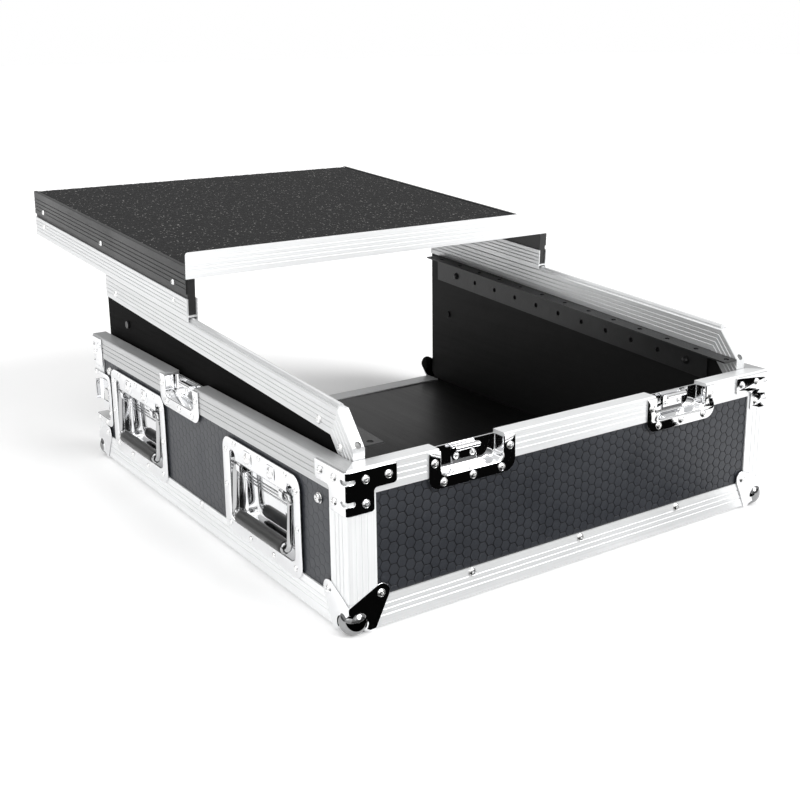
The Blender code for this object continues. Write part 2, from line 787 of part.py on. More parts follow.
def catch_body(place, facing):
    """One catch dish with its riveted catch plate; place maps (along, z, depth)."""
    mouth = catch_mouth / 2
    outer = mouth + plate
    low = catch_floor - plate
    high = tray_height - catch_rim
    dish = bmesh.new()
    prism(dish, catch_outline(), proud, -fit, place)
    tray = bmesh.new()
    prism(tray, [(-outer, low), (outer, low), (outer, high), (-outer, high)], proud + plate / 2,
          catch_depth + plate, place)
    hollow = bmesh.new()
    above = tray_height + plate
    prism(hollow, [(-mouth, catch_floor), (mouth, catch_floor), (mouth, above), (-mouth, above)],
          -clear_out, catch_depth, place)
    dish = cut(join(dish, tray), hollow)
    hook = bmesh.new()
    foot = catch_floor + hook_foot
    top = tray_height - hook_drop
    back = catch_depth + plate / 2
    face = catch_depth - hook_sheet
    tip = back - hook_reach
    prism(hook, [(back, foot), (back, top), (tip + 1.5 * hook_nose, top + 0.8 * hook_nose),
                 (tip, top - 0.8 * hook_nose), (tip, top - 2.3 * hook_nose),
                 (tip + hook_nose, top - 2.3 * hook_nose), (tip + 2 * hook_nose, top - 0.5 * hook_nose),
                 (face, top - hook_nose), (face, foot)], -hook_half, hook_half,
          lambda d, z, a: place(a, z, d))
    dish = join(dish, hook)
    heads = bmesh.new()
    for a, drop in catch_rivets:
        rivet(heads, place(a, tray_height - drop, proud), facing)
    for a in (-hook_rivet_half, hook_rivet_half):
        rivet(heads, place(a, tray_height - hook_rivet_drop, face), facing, small_rivet_radius)
    return join(dish, heads)


def make_catches(base):
    for side, label in sides:
        x = side * front_catch_x
        dish = catch_body(lambda a, z, d, x=x: on_front(x + a, z, d), (0, -1, 0))
        add_part(f"front_{label}_catch_dish", dish, chrome, base, (x, 0, catch_floor))
        at = on_side(side)
        dish = catch_body(lambda a, z, d, at=at: at(side_catch_y + a, z, d), (side, 0, 0))
        add_part(f"{label}_catch_dish", dish, chrome, base, at(side_catch_y, catch_floor, 0))


def handle_dish(y, at):
    """Recessed dish with its flange, the cover over the pivots and two lugs that carry the bail."""
    half = handle_mouth / 2
    flange_half = handle_width / 2
    flange = bmesh.new()
    prism(flange, rounded(y - flange_half, y + flange_half, handle_low, handle_high,
                          [handle_corner] * 4, 4), proud, -fit, at)
    slot = half - handle_slot_width
    low = handle_mouth_low
    round_corner = handle_mouth_corner
    bevel = 0.3 * round_corner
    near = [(-half, low + round_corner), (-half + bevel, low + bevel), (-half + round_corner, low)]
    upper = [(half, handle_slot_high), (slot, handle_slot_high), (slot, handle_mouth_high)]
    outline = near + [(-a, z) for a, z in reversed(near)] + upper + [(-a, z) for a, z in reversed(upper)]
    mouth = bmesh.new()
    prism(mouth, [(y + a, z) for a, z in outline], -clear_out, clear_out, at)
    flange = cut(flange, mouth)
    shell = bmesh.new()
    prism(shell, handle_box(y, plate), proud + plate / 2, handle_cavity + plate, at)
    hollow = bmesh.new()
    prism(hollow, handle_box(y, 0), -clear_out, handle_cavity, at)
    dish = join(flange, cut(shell, hollow))
    heads = bmesh.new()
    facing = at(0, 0, -1) - at(0, 0, 0)
    rivet(heads, at(y, handle_high - handle_top_rivets[0][1], proud), facing, small_rivet_radius)
    for way in (-1, 1):
        middle = y + way * (bail_stub + bail_half - lug_inset) / 2
        near = middle - lug_width / 2
        far = middle + lug_width / 2
        low = bail_pivot_z - lug_half
        high = bail_pivot_z + lug_half
        lug = bmesh.new()
        prism(lug, [(near, low), (far, low), (far, high), (near, high)],
              bail_pivot_depth - bail_rod - lug_front, handle_cavity + plate / 2, at)
        bore = bmesh.new()
        hole(bore, at(middle, bail_pivot_z, bail_pivot_depth), bail_rod + lug_play, drill, "Y", 12)
        dish = join(dish, cut(lug, bore))
        rivet(heads, at(y + way * cover_rivet_half, handle_high - cover_rivet_drop, proud), facing,
              big_rivet_radius, big_rivet_height)
        for inset, drop in handle_top_rivets:
            rivet(heads, at(y + way * (flange_half - inset), handle_high - drop, proud), facing,
                  small_rivet_radius)
        for inset, rise in handle_low_rivets:
            rivet(heads, at(y + way * (flange_half - inset), handle_low + rise, proud), facing,
                  small_rivet_radius)
    return join(dish, heads)


def bail_path(y, at):
    """Points of the bail's rod: stub, leg, grip bar, leg, stub, with round bends between them."""
    lean = Vector((-bail_lean, -math.sqrt(bail_drop ** 2 - bail_lean ** 2))) / bail_drop

    def spot(along, down):
        return at(y + along, bail_pivot_z + lean.y * down, bail_pivot_depth + lean.x * down)

    def bend(centre_along, centre_down, start, sweep, steps=4):
        points = []
        for step in range(steps + 1):
            angle = math.radians(start + sweep * step / steps)
            points.append(spot(centre_along + bail_bend * math.cos(angle),
                               centre_down + bail_bend * math.sin(angle)))
        return points

    inner = bail_half - bail_bend
    path = [spot(-bail_stub, 0)]
    path += bend(-inner, bail_bend, 270, -90)
    path += bend(-inner, bail_drop - bail_bend, 180, -90)
    path += bend(inner, bail_drop - bail_bend, 90, -90)
    path += bend(inner, bail_bend, 0, -90)
    path.append(spot(bail_stub, 0))
    return path, spot(0, bail_drop)


def add_tube(name, points, radius, finish, parent, origin):
    """A round rod as a curve with filled caps, its origin at the given point."""
    curve = bpy.data.curves.new(name, "CURVE")
    curve.dimensions = "3D"
    curve.bevel_depth = radius
    curve.bevel_resolution = 2
    curve.use_fill_caps = True
    spline = curve.splines.new("POLY")
    spline.points.add(len(points) - 1)
    for knot, point in zip(spline.points, points):
        knot.co = (*(point - Vector(origin)), 1)
    tube = bpy.data.objects.new(name, curve)
    tube.location = origin
    tube.parent = parent
    curve.materials.append(make_material(name, finish))
    parts.objects.link(tube)
    return tube


def make_handles(base):
    for side, label in sides:
        at = on_side(side)
        for end, y in (("front", handle_near_y), ("rear", handle_far_y)):
            add_part(f"{label}_{end}_handle_dish", handle_dish(y, at), chrome, base, at(y, handle_low, 0))
            pivot = at(y, bail_pivot_z, bail_pivot_depth)
            path, bar = bail_path(y, at)
            add_tube(f"{label}_{end}_handle_bail", path, bail_rod, chrome, base, pivot)
            grip = bmesh.new()
            half = grip_half
            bore = bail_rod + fit
            inner = grip_radius - grip_edge
            turned(grip, [(bore, -half), (inner, -half), (grip_radius, -half + grip_edge),
                          (grip_radius, half - grip_edge), (inner, half), (bore, half)], 12,
                   Matrix.Translation(bar) @ Matrix.Rotation(math.pi / 2, 4, "X"))
            add_part(f"{label}_{end}_handle_grip", grip, rubber, base, pivot, smooth=True)


def latch_box(margin, back):
    """Outline in (y, z) of a rear latch's recess, grown by the margin and reaching back to the given y."""
    start = latch_recess_start - margin
    low = latch_recess_low - margin
    high = latch_recess_high + margin
    return [(start, low), (back, low), (back, high), (start, high)]


def latch_body(at):
    """Dish of the rear latch: let into the wall's back edge and open to the back."""
    dish = bmesh.new()
    prism(dish, rounded(latch_start, case_depth, latch_low, latch_high,
                        [latch_corner, 0, 0, latch_corner], 3), proud, -fit, at)
    shell = bmesh.new()
    prism(shell, latch_box(plate, case_depth), proud + plate / 2, catch_depth + plate, at)
    hollow = bmesh.new()
    prism(hollow, latch_box(0, case_depth + clear_out), -clear_out, catch_depth, at)
    dish = cut(join(dish, shell), hollow)
    heads = bmesh.new()
    facing = at(0, 0, -1) - at(0, 0, 0)
    places = [(latch_start + behind, latch_z + above) for behind, above in latch_side_rivets]
    places += [(case_depth - latch_rivet_back, latch_high - latch_rivet_high),
               (case_depth - latch_rivet_back, latch_low + latch_rivet_low),
               (latch_start + latch_rivet_front, latch_low + latch_rivet_low)]
    for y, z in places:
        rivet(heads, at(y, z, proud), facing, small_rivet_radius)
    return join(dish, heads)


def make_latches(base):
    for side, label in sides:
        at = on_side(side)
        add_part(f"{label}_rear_latch_dish", latch_body(at), chrome, base, at(latch_y, latch_z, 0))

        sheet_back = catch_depth - fit
        sheet_front = sheet_back - claw_sheet
        front = latch_y - claw_front
        end = case_depth + claw_stand
        inside = end - claw_hook
        claw = bmesh.new()
        prism(claw, [(front, sheet_back), (front, sheet_front), (inside - claw_bend, sheet_front),
                     (inside, sheet_front - claw_bend), (inside, sheet_front - claw_lip),
                     (end, sheet_front - claw_lip), (end, sheet_back - claw_bend),
                     (end - claw_bend, sheet_back)], latch_z - claw_half, latch_z + claw_half,
              lambda y, d, z, at=at: at(y, z, d))
        slot = bmesh.new()
        slot_y = eccentric_radius + claw_play
        slot_z = eccentric_radius + eccentric_throw + claw_play
        middle = latch_y + eccentric_throw
        prism(slot, rounded(middle - slot_y, middle + slot_y, latch_z - slot_z, latch_z + slot_z,
                            [slot_y * 0.6] * 4, 2), 0, 2 * catch_depth, at)
        claw = cut(claw, slot)
        add_part(f"{label}_rear_latch_claw", claw, chrome, base, at(latch_y, latch_z, sheet_back))

        hub = bmesh.new()
        disc_front = sheet_front - fit
        hub_front = disc_front - hub_height
        disc_start = disc_front - fit
        hole(hub, at(latch_y + eccentric_throw, latch_z, (sheet_back + disc_start) / 2), eccentric_radius,
             sheet_back - disc_start, "X", 12)
        head = bmesh.new()
        prism(head, rounded(latch_y - hub_half, latch_y + hub_half, latch_z - hub_half, latch_z + hub_half,
                            [hub_corner] * 4, 2), hub_front, disc_front, at)
        hub = join(hub, head)
        pin = bmesh.new()
        pin_depth = disc_front - pin_stand - fit
        pin_half = hub_half + fit + skin + pin_end
        hole(pin, at(latch_y, latch_z, pin_depth), pin_radius, 2 * pin_half, "Y", 8)
        hub = join(hub, pin)
        add_part(f"{label}_rear_latch_hub", hub, zinc, base, at(latch_y, latch_z, disc_front))

        front = pin_depth - wing_half
        back = pin_depth + wing_half
        low = latch_z - wing_reach
        turns = [math.pi * step / tail_steps for step in range(tail_steps + 1)]
        outline = [(latch_z + wing_half * math.sin(turn), pin_depth - wing_half * math.cos(turn))
                   for turn in turns]
        outline += [(low + 2 * wing_edge, back), (low, back - 2 * wing_edge), (low, front)]
        inner = hub_half + fit
        ears = bmesh.new()
        for way in (-1, 1):
            prism(ears, outline, latch_y + way * inner, latch_y + way * (inner + skin),
                  lambda z, d, y, at=at: at(y, z, d))
        web = bmesh.new()
        reach = inner + skin / 2
        high = latch_z - hub_half - pin_end
        prism(web, [(latch_y - reach, low), (latch_y + reach, low), (latch_y + reach, high),
                    (latch_y - reach, high)], front, front + skin, at)
        ears = join(ears, web)
        bore = bmesh.new()
        hole(bore, at(latch_y, latch_z, pin_depth), pin_radius + fit, drill, "Y", 8)
        ears = cut(ears, bore)
        add_part(f"{label}_rear_latch_wings", ears, chrome, base, at(latch_y, latch_z, pin_depth))


def meet(point, run, other, other_run):
    """Point where two lines in the (y, z) plane cross."""
    cross = run.y * other_run.z - run.z * other_run.y
    offset = other - point
    reach = (offset.y * other_run.z - offset.z * other_run.y) / cross
    return point + run * reach


def slant_line(height):
    """A point on the line that runs at this height above the slanted rail's lower edge."""
    return Vector((0, wedge_back, slant_base)) + slant_rise * height


def fold_point(height):
    """Point of the mitre between the slanted rail and its front leg, at this height in the section."""
    top = slant_line(cap_depth)
    top = top + slant_run * ((fold_y - top.y) / slant_run.y)
    half_turn = (slant_angle + leg_angle) / 2
    down = Vector((0, math.sin(half_turn), -math.cos(half_turn)))
    return top + down * ((cap_depth - height) / math.cos((leg_angle - slant_angle) / 2))


def leg_end(height, y=wedge_front):
    """Point where the leg's line at this height meets the upright plane at this y."""
    start = fold_point(height)
    return start - leg_run * ((start.y - y) / leg_run.y)


def make_wedges(base):
    upright = Vector((0, 0, 1))
    back = Vector((0, wedge_back, 0))
    inner_height = cap_depth - cap_web - fit
    top_back = meet(slant_line(inner_height), slant_run, back, upright)
    outline = [(ply_front, floor_top + fit), (wedge_back - wedge_chamfer, floor_top + fit),
               (wedge_back, floor_top + fit + wedge_chamfer), (top_back.y, top_back.z)]
    outline += [(point.y, point.z) for point in (fold_point(inner_height), leg_end(inner_height, ply_front))]
    for side, label in sides:
        ply_outer = half_width - wedge_outer + panel_face
        at = on_side(side)
        panel = bmesh.new()
        prism(panel, outline, ply_outer, ply_outer + ply, at)
        bolts = bmesh.new()
        for y, z in wall_bolt_places:
            bolt(bolts, at(y, z, panel_face), (side, 0, 0), ply_outer + ply - panel_face)
        panel = join(panel, bolts)
        holes = bmesh.new()
        for step in rack_bolt_steps:
            spot = rack_leg_hole(step)
            hole(holes, at(spot.y, spot.z, ply_outer), bolt_hole, drill)
        panel = cut(panel, holes)
        add_part(f"{label}_wedge_panel", panel, black_ply, base, at(wedge_back, floor_top, ply_outer))
        make_slant_rail(side, label, base)


def cap_section():
    """Half-open section over the wedge panel as (across, height), grooved on both walls."""
    half = cap_width / 2
    groove_points = grooves(cap_groove_first, 4, cap_groove_pitch)
    right = [(half - depth, height) for depth, height in groove_points]
    left = [(-half + depth, height) for depth, height in reversed(groove_points)]
    web = cap_depth - cap_web
    return ([(half - rail_edge, cap_depth), (half, cap_depth - rail_edge)] + right
            + [(half, 0), (half - skin, 0), (half - skin, web), (-half + skin, web), (-half + skin, 0),
               (-half, 0)]
            + left + [(-half, cap_depth - rail_edge), (-half + rail_edge, cap_depth)])


def make_slant_rail(side, label, base):
    middle = side * (wedge_outer + wedge_inner) / 2
    section = cap_section()
    rings = []
    rail = bmesh.new()
    for station in (slant_line, fold_point, leg_end):
        rings.append([rail.verts.new(station(height) + Vector((middle + across, 0, 0)))
                      for across, height in section])
    for near, far in zip(rings, rings[1:]):
        for index in range(len(section)):
            after = (index + 1) % len(section)
            rail.faces.new((near[index], near[after], far[after], far[index]))
    rail.faces.new(rings[0])
    rail.faces.new(rings[-1])
    bmesh.ops.recalc_face_normals(rail, faces=rail.faces)
    bead = bmesh.new()
    half = bead_width / 2
    shape = [(-half, -bead_sink), (half, -bead_sink), (half, bead_height * 0.4),
             (half * 0.6, bead_height * 0.85), (0, bead_height), (-half * 0.6, bead_height * 0.85),
             (-half, bead_height * 0.4)]
    start = slant_line(0)
    fold = fold_point(cap_depth)
    length = (start - fold).length - bead_end
    prism(bead, shape, 0, length,
          lambda across, height, along: start + slant_rise * (cap_depth + height) - slant_run * along
          + Vector((middle + across, 0, 0)))
    rail = join(rail, bead)
    tongue = bmesh.new()
    half = cap_width / 2 - skin / 2
    high = leg_end(cap_depth - cap_web / 2).z
    box(tongue, (middle - half, wedge_front, high - tongue_length), (middle + half, wedge_front + skin, high))
    rail = join(rail, tongue)
    drill = bmesh.new()
    spot = leg_end(cap_depth) + leg_run * leg_hole_rise
    turn = Matrix.Rotation(leg_angle, 4, "X")
    bmesh.ops.create_cone(drill, cap_ends=True, segments=10, radius1=leg_hole_radius, radius2=leg_hole_radius,
                          depth=leg_hole_depth, matrix=Matrix.Translation(spot + Vector((middle, 0, 0))) @ turn)
    rail = cut(rail, drill)
    heads = bmesh.new()
    back_along, back_height = slant_back_rivet
    fold_along, fold_height = slant_fold_rivet
    leg_along, leg_height = leg_rivet
    for point in (slant_line(back_height) - slant_run * back_along,
                  slant_line(fold_height) - slant_run * (slant_length - fold_along),
                  fold_point(leg_height) - leg_run * leg_along):
        rivet(heads, point + Vector((side * wedge_outer, 0, 0)), (side, 0, 0))
    rail = join(rail, heads)
    add_part(f"{label}_slant_rail", rail, shaded_aluminium, base, (middle, wedge_back, slant_base))


def bolt(bm, start, outward, grip, head_joined=False):
    """A pan-head bolt with its washer and nut, clamping a grip that starts at the face under its head.

    It is joined to one of the pieces that it clamps, and stands a fit off the other one.
    """
    turn = Vector(outward).to_track_quat("Z", "Y").to_matrix().to_4x4()
    seat = -fit if head_joined else fit
    nut_seat = -grip - fit if head_joined else -grip + fit
    nut_end = nut_seat - nut_height
    rim = seat + washer
    profile = [(0, rim + bolt_crown), (bolt_head * 0.6, rim + bolt_crown * 0.87),
               (bolt_head, rim + bolt_crown * 0.27), (bolt_head, rim), (washer_radius, rim),
               (washer_radius, seat), (bolt_radius, seat), (bolt_radius, nut_seat), (bolt_head, nut_seat),
               (bolt_head, nut_end), (0, nut_end)]
    turned(bm, profile, 8, Matrix.Translation(start) @ turn)


def rack_leg_hole(step):
    """Centre of a hole in the rack rail's upright leg, counted from the back."""
    return slant_line(-rack_leg_hole_drop) - slant_run * (rack_leg_first + step * rack_pitch)


def make_rack_rails(base):
    for side, label in sides:
        leg_outer = wedge_inner + panel_face - fit
        flange_inner = wedge_inner - rack_flange

        def spot(across, along_y, height):
            start = slant_line(height)
            point = start + slant_run * ((along_y - start.y) / slant_run.y)
            return Vector((side * across, point.y, point.z))

        step_outer = wedge_inner - fit
        flange = bmesh.new()
        prism(flange, [(flange_inner, wedge_front), (step_outer, wedge_front), (step_outer, rack_leg_front),
                       (leg_outer, rack_leg_front), (leg_outer, rack_back), (flange_inner, rack_back)],
              -fit - rack_sheet, -fit, spot)
        leg = bmesh.new()
        leg_inner = leg_outer - rack_sheet
        prism(leg, [(leg_inner, rack_leg_front), (leg_outer, rack_leg_front), (leg_outer, rack_back),
                    (leg_inner, rack_back)], -rack_leg, -fit - rack_sheet / 2, spot)
        rail = join(flange, leg)
        holes = bmesh.new()
        for step in range(rack_leg_holes):
            point = rack_leg_hole(step)
            hole(holes, Vector((side * leg_outer, point.y, point.z)), rack_hole_radius, short_drill, "X", 6)
        for step in range(rack_flange_holes):
            centre = spot(rack_hole_x, rack_flange_first + step * rack_pitch, -rack_sheet / 2)
            hole(holes, centre, rack_hole_radius, short_drill, "Z", 6)
        rail = cut(rail, holes)
        bolts = bmesh.new()
        for step in rack_bolt_steps:
            point = rack_leg_hole(step)
            bolt(bolts, Vector((side * leg_inner, point.y, point.z)), (-side, 0, 0), rack_sheet + fit + ply, True)
        rail = join(rail, bolts)
        add_part(f"{label}_rack_rail", rail, black_steel, base, spot(wedge_inner, rack_back, 0))


def make_shelf(slide):
    """Shelf in its own slanted frame: origin on the slanted rail's lower edge line, under the shelf's front."""
    half = wedge_outer
    channel_low = cap_depth + fit
    channel_high = channel_low + channel_depth
    trim_low = channel_high + shelf_gap
    trim_high = trim_low + trim_depth
    deck_low = trim_high - carpet_thickness - ply
    web_low = cap_depth + bead_height + channel_clearance
    ply_low = web_low + channel_web + fit
    slot = panel_back + fit
    board = bmesh.new()
    front = skin + fit
    box(board, (-half + panel_face, front, deck_low), (half - panel_face, shelf_length, deck_low + ply))
    for side, label in sides:
        place = lambda depth, height, along, side=side: Vector((side * (half - depth), along, height))
        runner = bmesh.new()
        prism(runner, [(panel_face, ply_low), (panel_back, ply_low), (panel_back, deck_low + ply / 2),
                       (panel_face, deck_low + ply / 2)], front, shelf_length, place)
        board = join(board, runner)

        channel = bmesh.new()
        outer = grooves(channel_high - channel_groove_drop, 4, channel_groove_pitch)
        inner = [(cap_width - depth, height) for depth, height in reversed(outer)]
        prism(channel, [(0, channel_high)] + outer + [(0, channel_low), (skin, channel_low), (skin, web_low),
                       (slot, web_low), (slot, channel_low), (cap_width, channel_low)] + inner
              + [(cap_width, channel_high), (slot, channel_high), (slot, web_low + channel_web),
                 (skin, web_low + channel_web), (skin, channel_high)], 0, shelf_length, place)
        heads = bmesh.new()
        for along in (shelf_rivet_end, shelf_length - shelf_rivet_end):
            rivet(heads, place(0, channel_high - channel_rivet_drop, along), (side, 0, 0),
                  small_rivet_radius)
        channel = join(channel, heads)
        add_part(f"{label}_shelf_channel", channel, shaded_aluminium, slide, (side * half, 0, channel_low))

        trim = bmesh.new()
        outer = grooves(trim_high - trim_groove_drop, 4, trim_groove_pitch)
        prism(trim, [(trim_edge, trim_high), (0, trim_high - trim_edge)] + outer
              + [(0, trim_low), (skin, trim_low), (skin, trim_high - trim_lip_sheet),
                 (trim_lip, trim_high - trim_lip_sheet), (trim_lip, trim_high)], front + fit, shelf_length,
              place)
        heads = bmesh.new()
        for along in (shelf_rivet_end, shelf_length / 2, shelf_length - shelf_rivet_end):
            rivet(heads, place(0, trim_low + trim_rivet_rise, along), (side, 0, 0),
                  small_rivet_radius)
        trim = join(trim, heads)
        add_part(f"{label}_shelf_trim", trim, shaded_aluminium, slide, (side * half, 0, trim_low))
    add_part("shelf_board", board, black_ply, slide, (0, front, deck_low))

    cloth = bmesh.new()
    reach = half - trim_lip - fit
    box(cloth, (-reach, front, deck_low + ply + fit), (reach, shelf_length, trim_high))
    add_part("shelf_carpet", cloth, carpet, slide, (0, front, deck_low + ply))

    lip = bmesh.new()
    low = deck_low - skin - fit
    high = low + lip_height
    prism(lip, [(skin, high), (0, high)] + grooves(high - lip_groove_drop, 4, trim_groove_pitch)
          + [(0, low), (lip_leg, low), (lip_leg, low + skin), (skin, low + skin)], -half, half,
          lambda along, height, x: Vector((x, along, height)))
    frame = bmesh.new()
    prism(frame, rounded(-half, half, low, high, [0, 0, lip_corner, lip_corner], 3), -clear_out, skin,
          lambda x, height, along: Vector((x, along, height)))
    leg = bmesh.new()
    reach = half - cap_width - fit
    box(leg, (-reach, 0, low - lip_margin), (reach, lip_leg + lip_margin, low + skin + lip_margin))
    lip = combine(lip, join(frame, leg), "INTERSECT")
    add_part("shelf_lip", lip, aluminium, slide, (0, 0, low))


clear_scene()
parts = bpy.data.collections.new("slant_mixer_flight_case")
bpy.context.scene.collection.children.link(parts)
sides = ((-1, "left"), (1, "right"))
case = add_empty("case_frame", (0, -middle_y, ball_proud))
slant = add_empty("slant_frame", (0, wedge_back, slant_base), case, slant_angle)
shelf = add_empty("shelf_slide", (0, shelf_back - shelf_length, 0), slant)
make_panels(case)
make_rails(case)
make_posts(case)
make_brackets(case)
make_ball_corners(case)
make_catches(case)
make_handles(case)
make_latches(case)
make_wedges(case)
make_rack_rails(case)
make_shelf(shelf)
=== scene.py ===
import math
import random
import bpy
import bmesh
from mathutils import Matrix, Vector


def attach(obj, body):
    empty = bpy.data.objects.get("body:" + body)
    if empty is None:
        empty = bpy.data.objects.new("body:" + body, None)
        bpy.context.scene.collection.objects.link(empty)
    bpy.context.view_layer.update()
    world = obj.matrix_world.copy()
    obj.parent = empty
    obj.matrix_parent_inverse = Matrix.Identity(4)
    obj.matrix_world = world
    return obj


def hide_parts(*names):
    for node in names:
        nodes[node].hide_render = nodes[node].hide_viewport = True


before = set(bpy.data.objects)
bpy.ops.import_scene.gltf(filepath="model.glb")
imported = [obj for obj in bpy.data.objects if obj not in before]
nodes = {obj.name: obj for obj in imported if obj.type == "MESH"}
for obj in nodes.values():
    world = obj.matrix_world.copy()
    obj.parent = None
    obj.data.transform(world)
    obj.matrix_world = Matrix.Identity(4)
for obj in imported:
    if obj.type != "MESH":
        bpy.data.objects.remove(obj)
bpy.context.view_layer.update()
chance = random.Random(7)
print("frame loaded:", len(nodes), "nodes")

# camera, floor and lights

camera = {"place": (-0.7719249, -1.2578073, 0.5218801), "yaw": -34.7384875, "pitch": -14.789266,
          "roll": -0.4554552, "sensor": 36, "lens": 54.0735, "shift": (-0.0234727, -0.0634043)}
studio = {"floorWidth": 40.0, "floorHeight": -0.0005, "floorTone": 0.93, "floorGlow": 0.16, "sky": 0.50,
          "mirrored": ((0.0, 0.30), (0.52, 0.16), (0.60, 0.22), (0.72, 0.75), (1.0, 1.0)),
          "aim": (0, 0, 0.1),
          "suns": (("key", (0.55, -1.0, 0.75), 1.9, 35.0), ("overhead", (-0.2, 0.25, 1.0), 0.9, 60.0),
                   ("side", (-1.0, -0.35, 0.40), 0.45, 60.0)),
          "lights": (("softbox", (0.9, -2.1, 1.9), 1.5, 14.0), ("fill", (-2.4, -0.6, 1.5), 1.6, 6.0)),
          "cardHeight": 0.0004,
          "cards": (((-0.70, -0.4325), (0.24, -0.4325), (0.40, -0.75), (0.40, -1.9), (-0.70, -1.9)),
                    ((0.50, -0.60), (0.58, -0.60), (0.62, -1.9), (0.52, -1.9)))}


def linked(name, data):
    made = bpy.data.objects.new(name, data)
    bpy.context.scene.collection.objects.link(made)
    return made


def aimCamera():
    yaw, pitch, roll = (math.radians(camera[turn]) for turn in ("yaw", "pitch", "roll"))
    ahead = Vector((-math.sin(yaw) * math.cos(pitch), math.cos(yaw) * math.cos(pitch), math.sin(pitch)))
    level = Vector((math.cos(yaw), math.sin(yaw), 0))
    upright = level.cross(ahead)
    right = math.cos(roll) * level + math.sin(roll) * upright
    up = math.cos(roll) * upright - math.sin(roll) * level
    turned = Matrix((right, up, -ahead)).transposed().to_4x4()
    turned.translation = camera["place"]
    lens = bpy.data.cameras.new("photoCamera")
    lens.sensor_width = camera["sensor"]
    lens.lens = camera["lens"]
    lens.shift_x, lens.shift_y = camera["shift"]
    eye = linked("photoCamera", lens)
    eye.matrix_world = turned
    bpy.context.scene.camera = eye


def addSoftbox(name, place, size, power):
    lamp = bpy.data.lights.new(name, "AREA")
    lamp.shape = "DISK"
    lamp.size = size
    lamp.energy = power
    stand = linked(name, lamp)
    stand.location = place
    aim = Vector(studio["aim"]) - Vector(place)
    stand.rotation_euler = aim.to_track_quat("-Z", "Y").to_euler()


def addSun(name, toward, power, spread):
    lamp = bpy.data.lights.new(name, "SUN")
    lamp.energy = power
    lamp.angle = math.radians(spread)
    linked(name, lamp).rotation_euler = Vector(toward).to_track_quat("Z", "Y").to_euler()


aimCamera()
for sun in studio["suns"]:
    addSun(*sun)
for light in studio["lights"]:
    addSoftbox(*light)
print("camera and lights set")

# finishes

class Wire:  # a socket that takes part in plain arithmetic
    def __init__(self, maker, socket):
        self.maker = maker
        self.socket = socket

    def maths(self, kind, *terms):
        return self.maker.node("Math", {"operation": kind}, dict(enumerate(terms)))

    def __add__(self, other): return self.maths("ADD", self, other)
    def __radd__(self, other): return self.maths("ADD", other, self)
    def __sub__(self, other): return self.maths("SUBTRACT", self, other)
    def __rsub__(self, other): return self.maths("SUBTRACT", other, self)
    def __mul__(self, other): return self.maths("MULTIPLY", self, other)
    def __rmul__(self, other): return self.maths("MULTIPLY", other, self)


class NodeMaker:  # adds nodes to one tree and wires them up
    def __init__(self, tree):
        self.tree = tree

    def inputs(self, made, values):
        for key, value in values.items():
            if isinstance(value, Wire):
                self.tree.links.new(value.socket, made.inputs[key])
            else:
                made.inputs[key].default_value = value

    def node(self, kind, settings=None, values=None, out=0):
        made = self.tree.nodes.new("ShaderNode" + kind)
        for key, value in (settings or {}).items():
            if key == "stops":
                ramp = made.color_ramp.elements
                for index, (position, tone) in enumerate(value):
                    stop = ramp[index] if index < 2 else ramp.new(position)  # a ramp starts with two stops
                    stop.position = position
                    stop.color = shade(tone)
            else:
                setattr(made, key, value)
        self.inputs(made, values or {})
        return Wire(self, made.outputs[out])

    def mix(self, factor, first, second):
        return self.node("Mix", {"data_type": "RGBA"}, {0: factor, 6: first, 7: second}, 2)

    def span(self, value, outLow, outHigh, low=0.3, high=0.7):  # stretches a noise's middle over new values
        return self.node("MapRange", None, {"Value": value, "From Min": low, "From Max": high,
                                            "To Min": outLow, "To Max": outHigh})


class Finish(NodeMaker):  # one material
    def __init__(self, name, **plain):
        self.material = bpy.data.materials.new(name)
        self.material.use_nodes = True
        super().__init__(self.material.node_tree)
        self.tree.nodes.clear()
        self.surface = self.tree.nodes.new("ShaderNodeBsdfPrincipled")
        self.set(**plain)
        out = self.tree.nodes.new("ShaderNodeOutputMaterial")
        self.tree.links.new(self.surface.outputs[0], out.inputs[0])
        self.where = self.node("TexCoord", out="Object")

    def stretched(self, scale):  # object coordinates, scaled alike or axis by axis
        scale = scale if isinstance(scale, tuple) else (scale,) * 3
        return self.node("Mapping", {"vector_type": "POINT"}, {"Vector": self.where, "Scale": scale})

    def noise(self, scale, detail=3.0, rough=0.55):
        return self.node("TexNoise", None, {"Vector": self.stretched(scale), "Scale": 1.0,
                                            "Detail": detail, "Roughness": rough})

    def tones(self, value, first, second):  # drifts between two colours
        return self.mix(self.span(value, 0, 1), first, second)

    def bump(self, height, depth):
        return self.node("Bump", None, {"Height": height, "Distance": depth, "Strength": 1.0})

    def set(self, **values):
        self.inputs(self.surface, {key.replace("_", " "): value for key, value in values.items()})
        return self.material


def shade(tone, tint=(1, 1, 1)):
    return tuple(tone * part for part in tint) + (1,)


def grainAlong(axis, across, lengthwise):  # scales for a noise drawn out along one axis
    return tuple(lengthwise if place == axis else across for place in range(3))


aluminiumLook = {"tint": (0.985, 0.995, 1.0), "lines": (900.0, 6.0), "hairs": (2600.0, 14.0), "cloud": 9.0,
                 "dust": 260.0, "streaked": (0.90, 1.0), "clouded": (0.965, 1.0),
                 "rough": (0.30, 0.45, 0.5, 1.0), "relief": 0.00006}


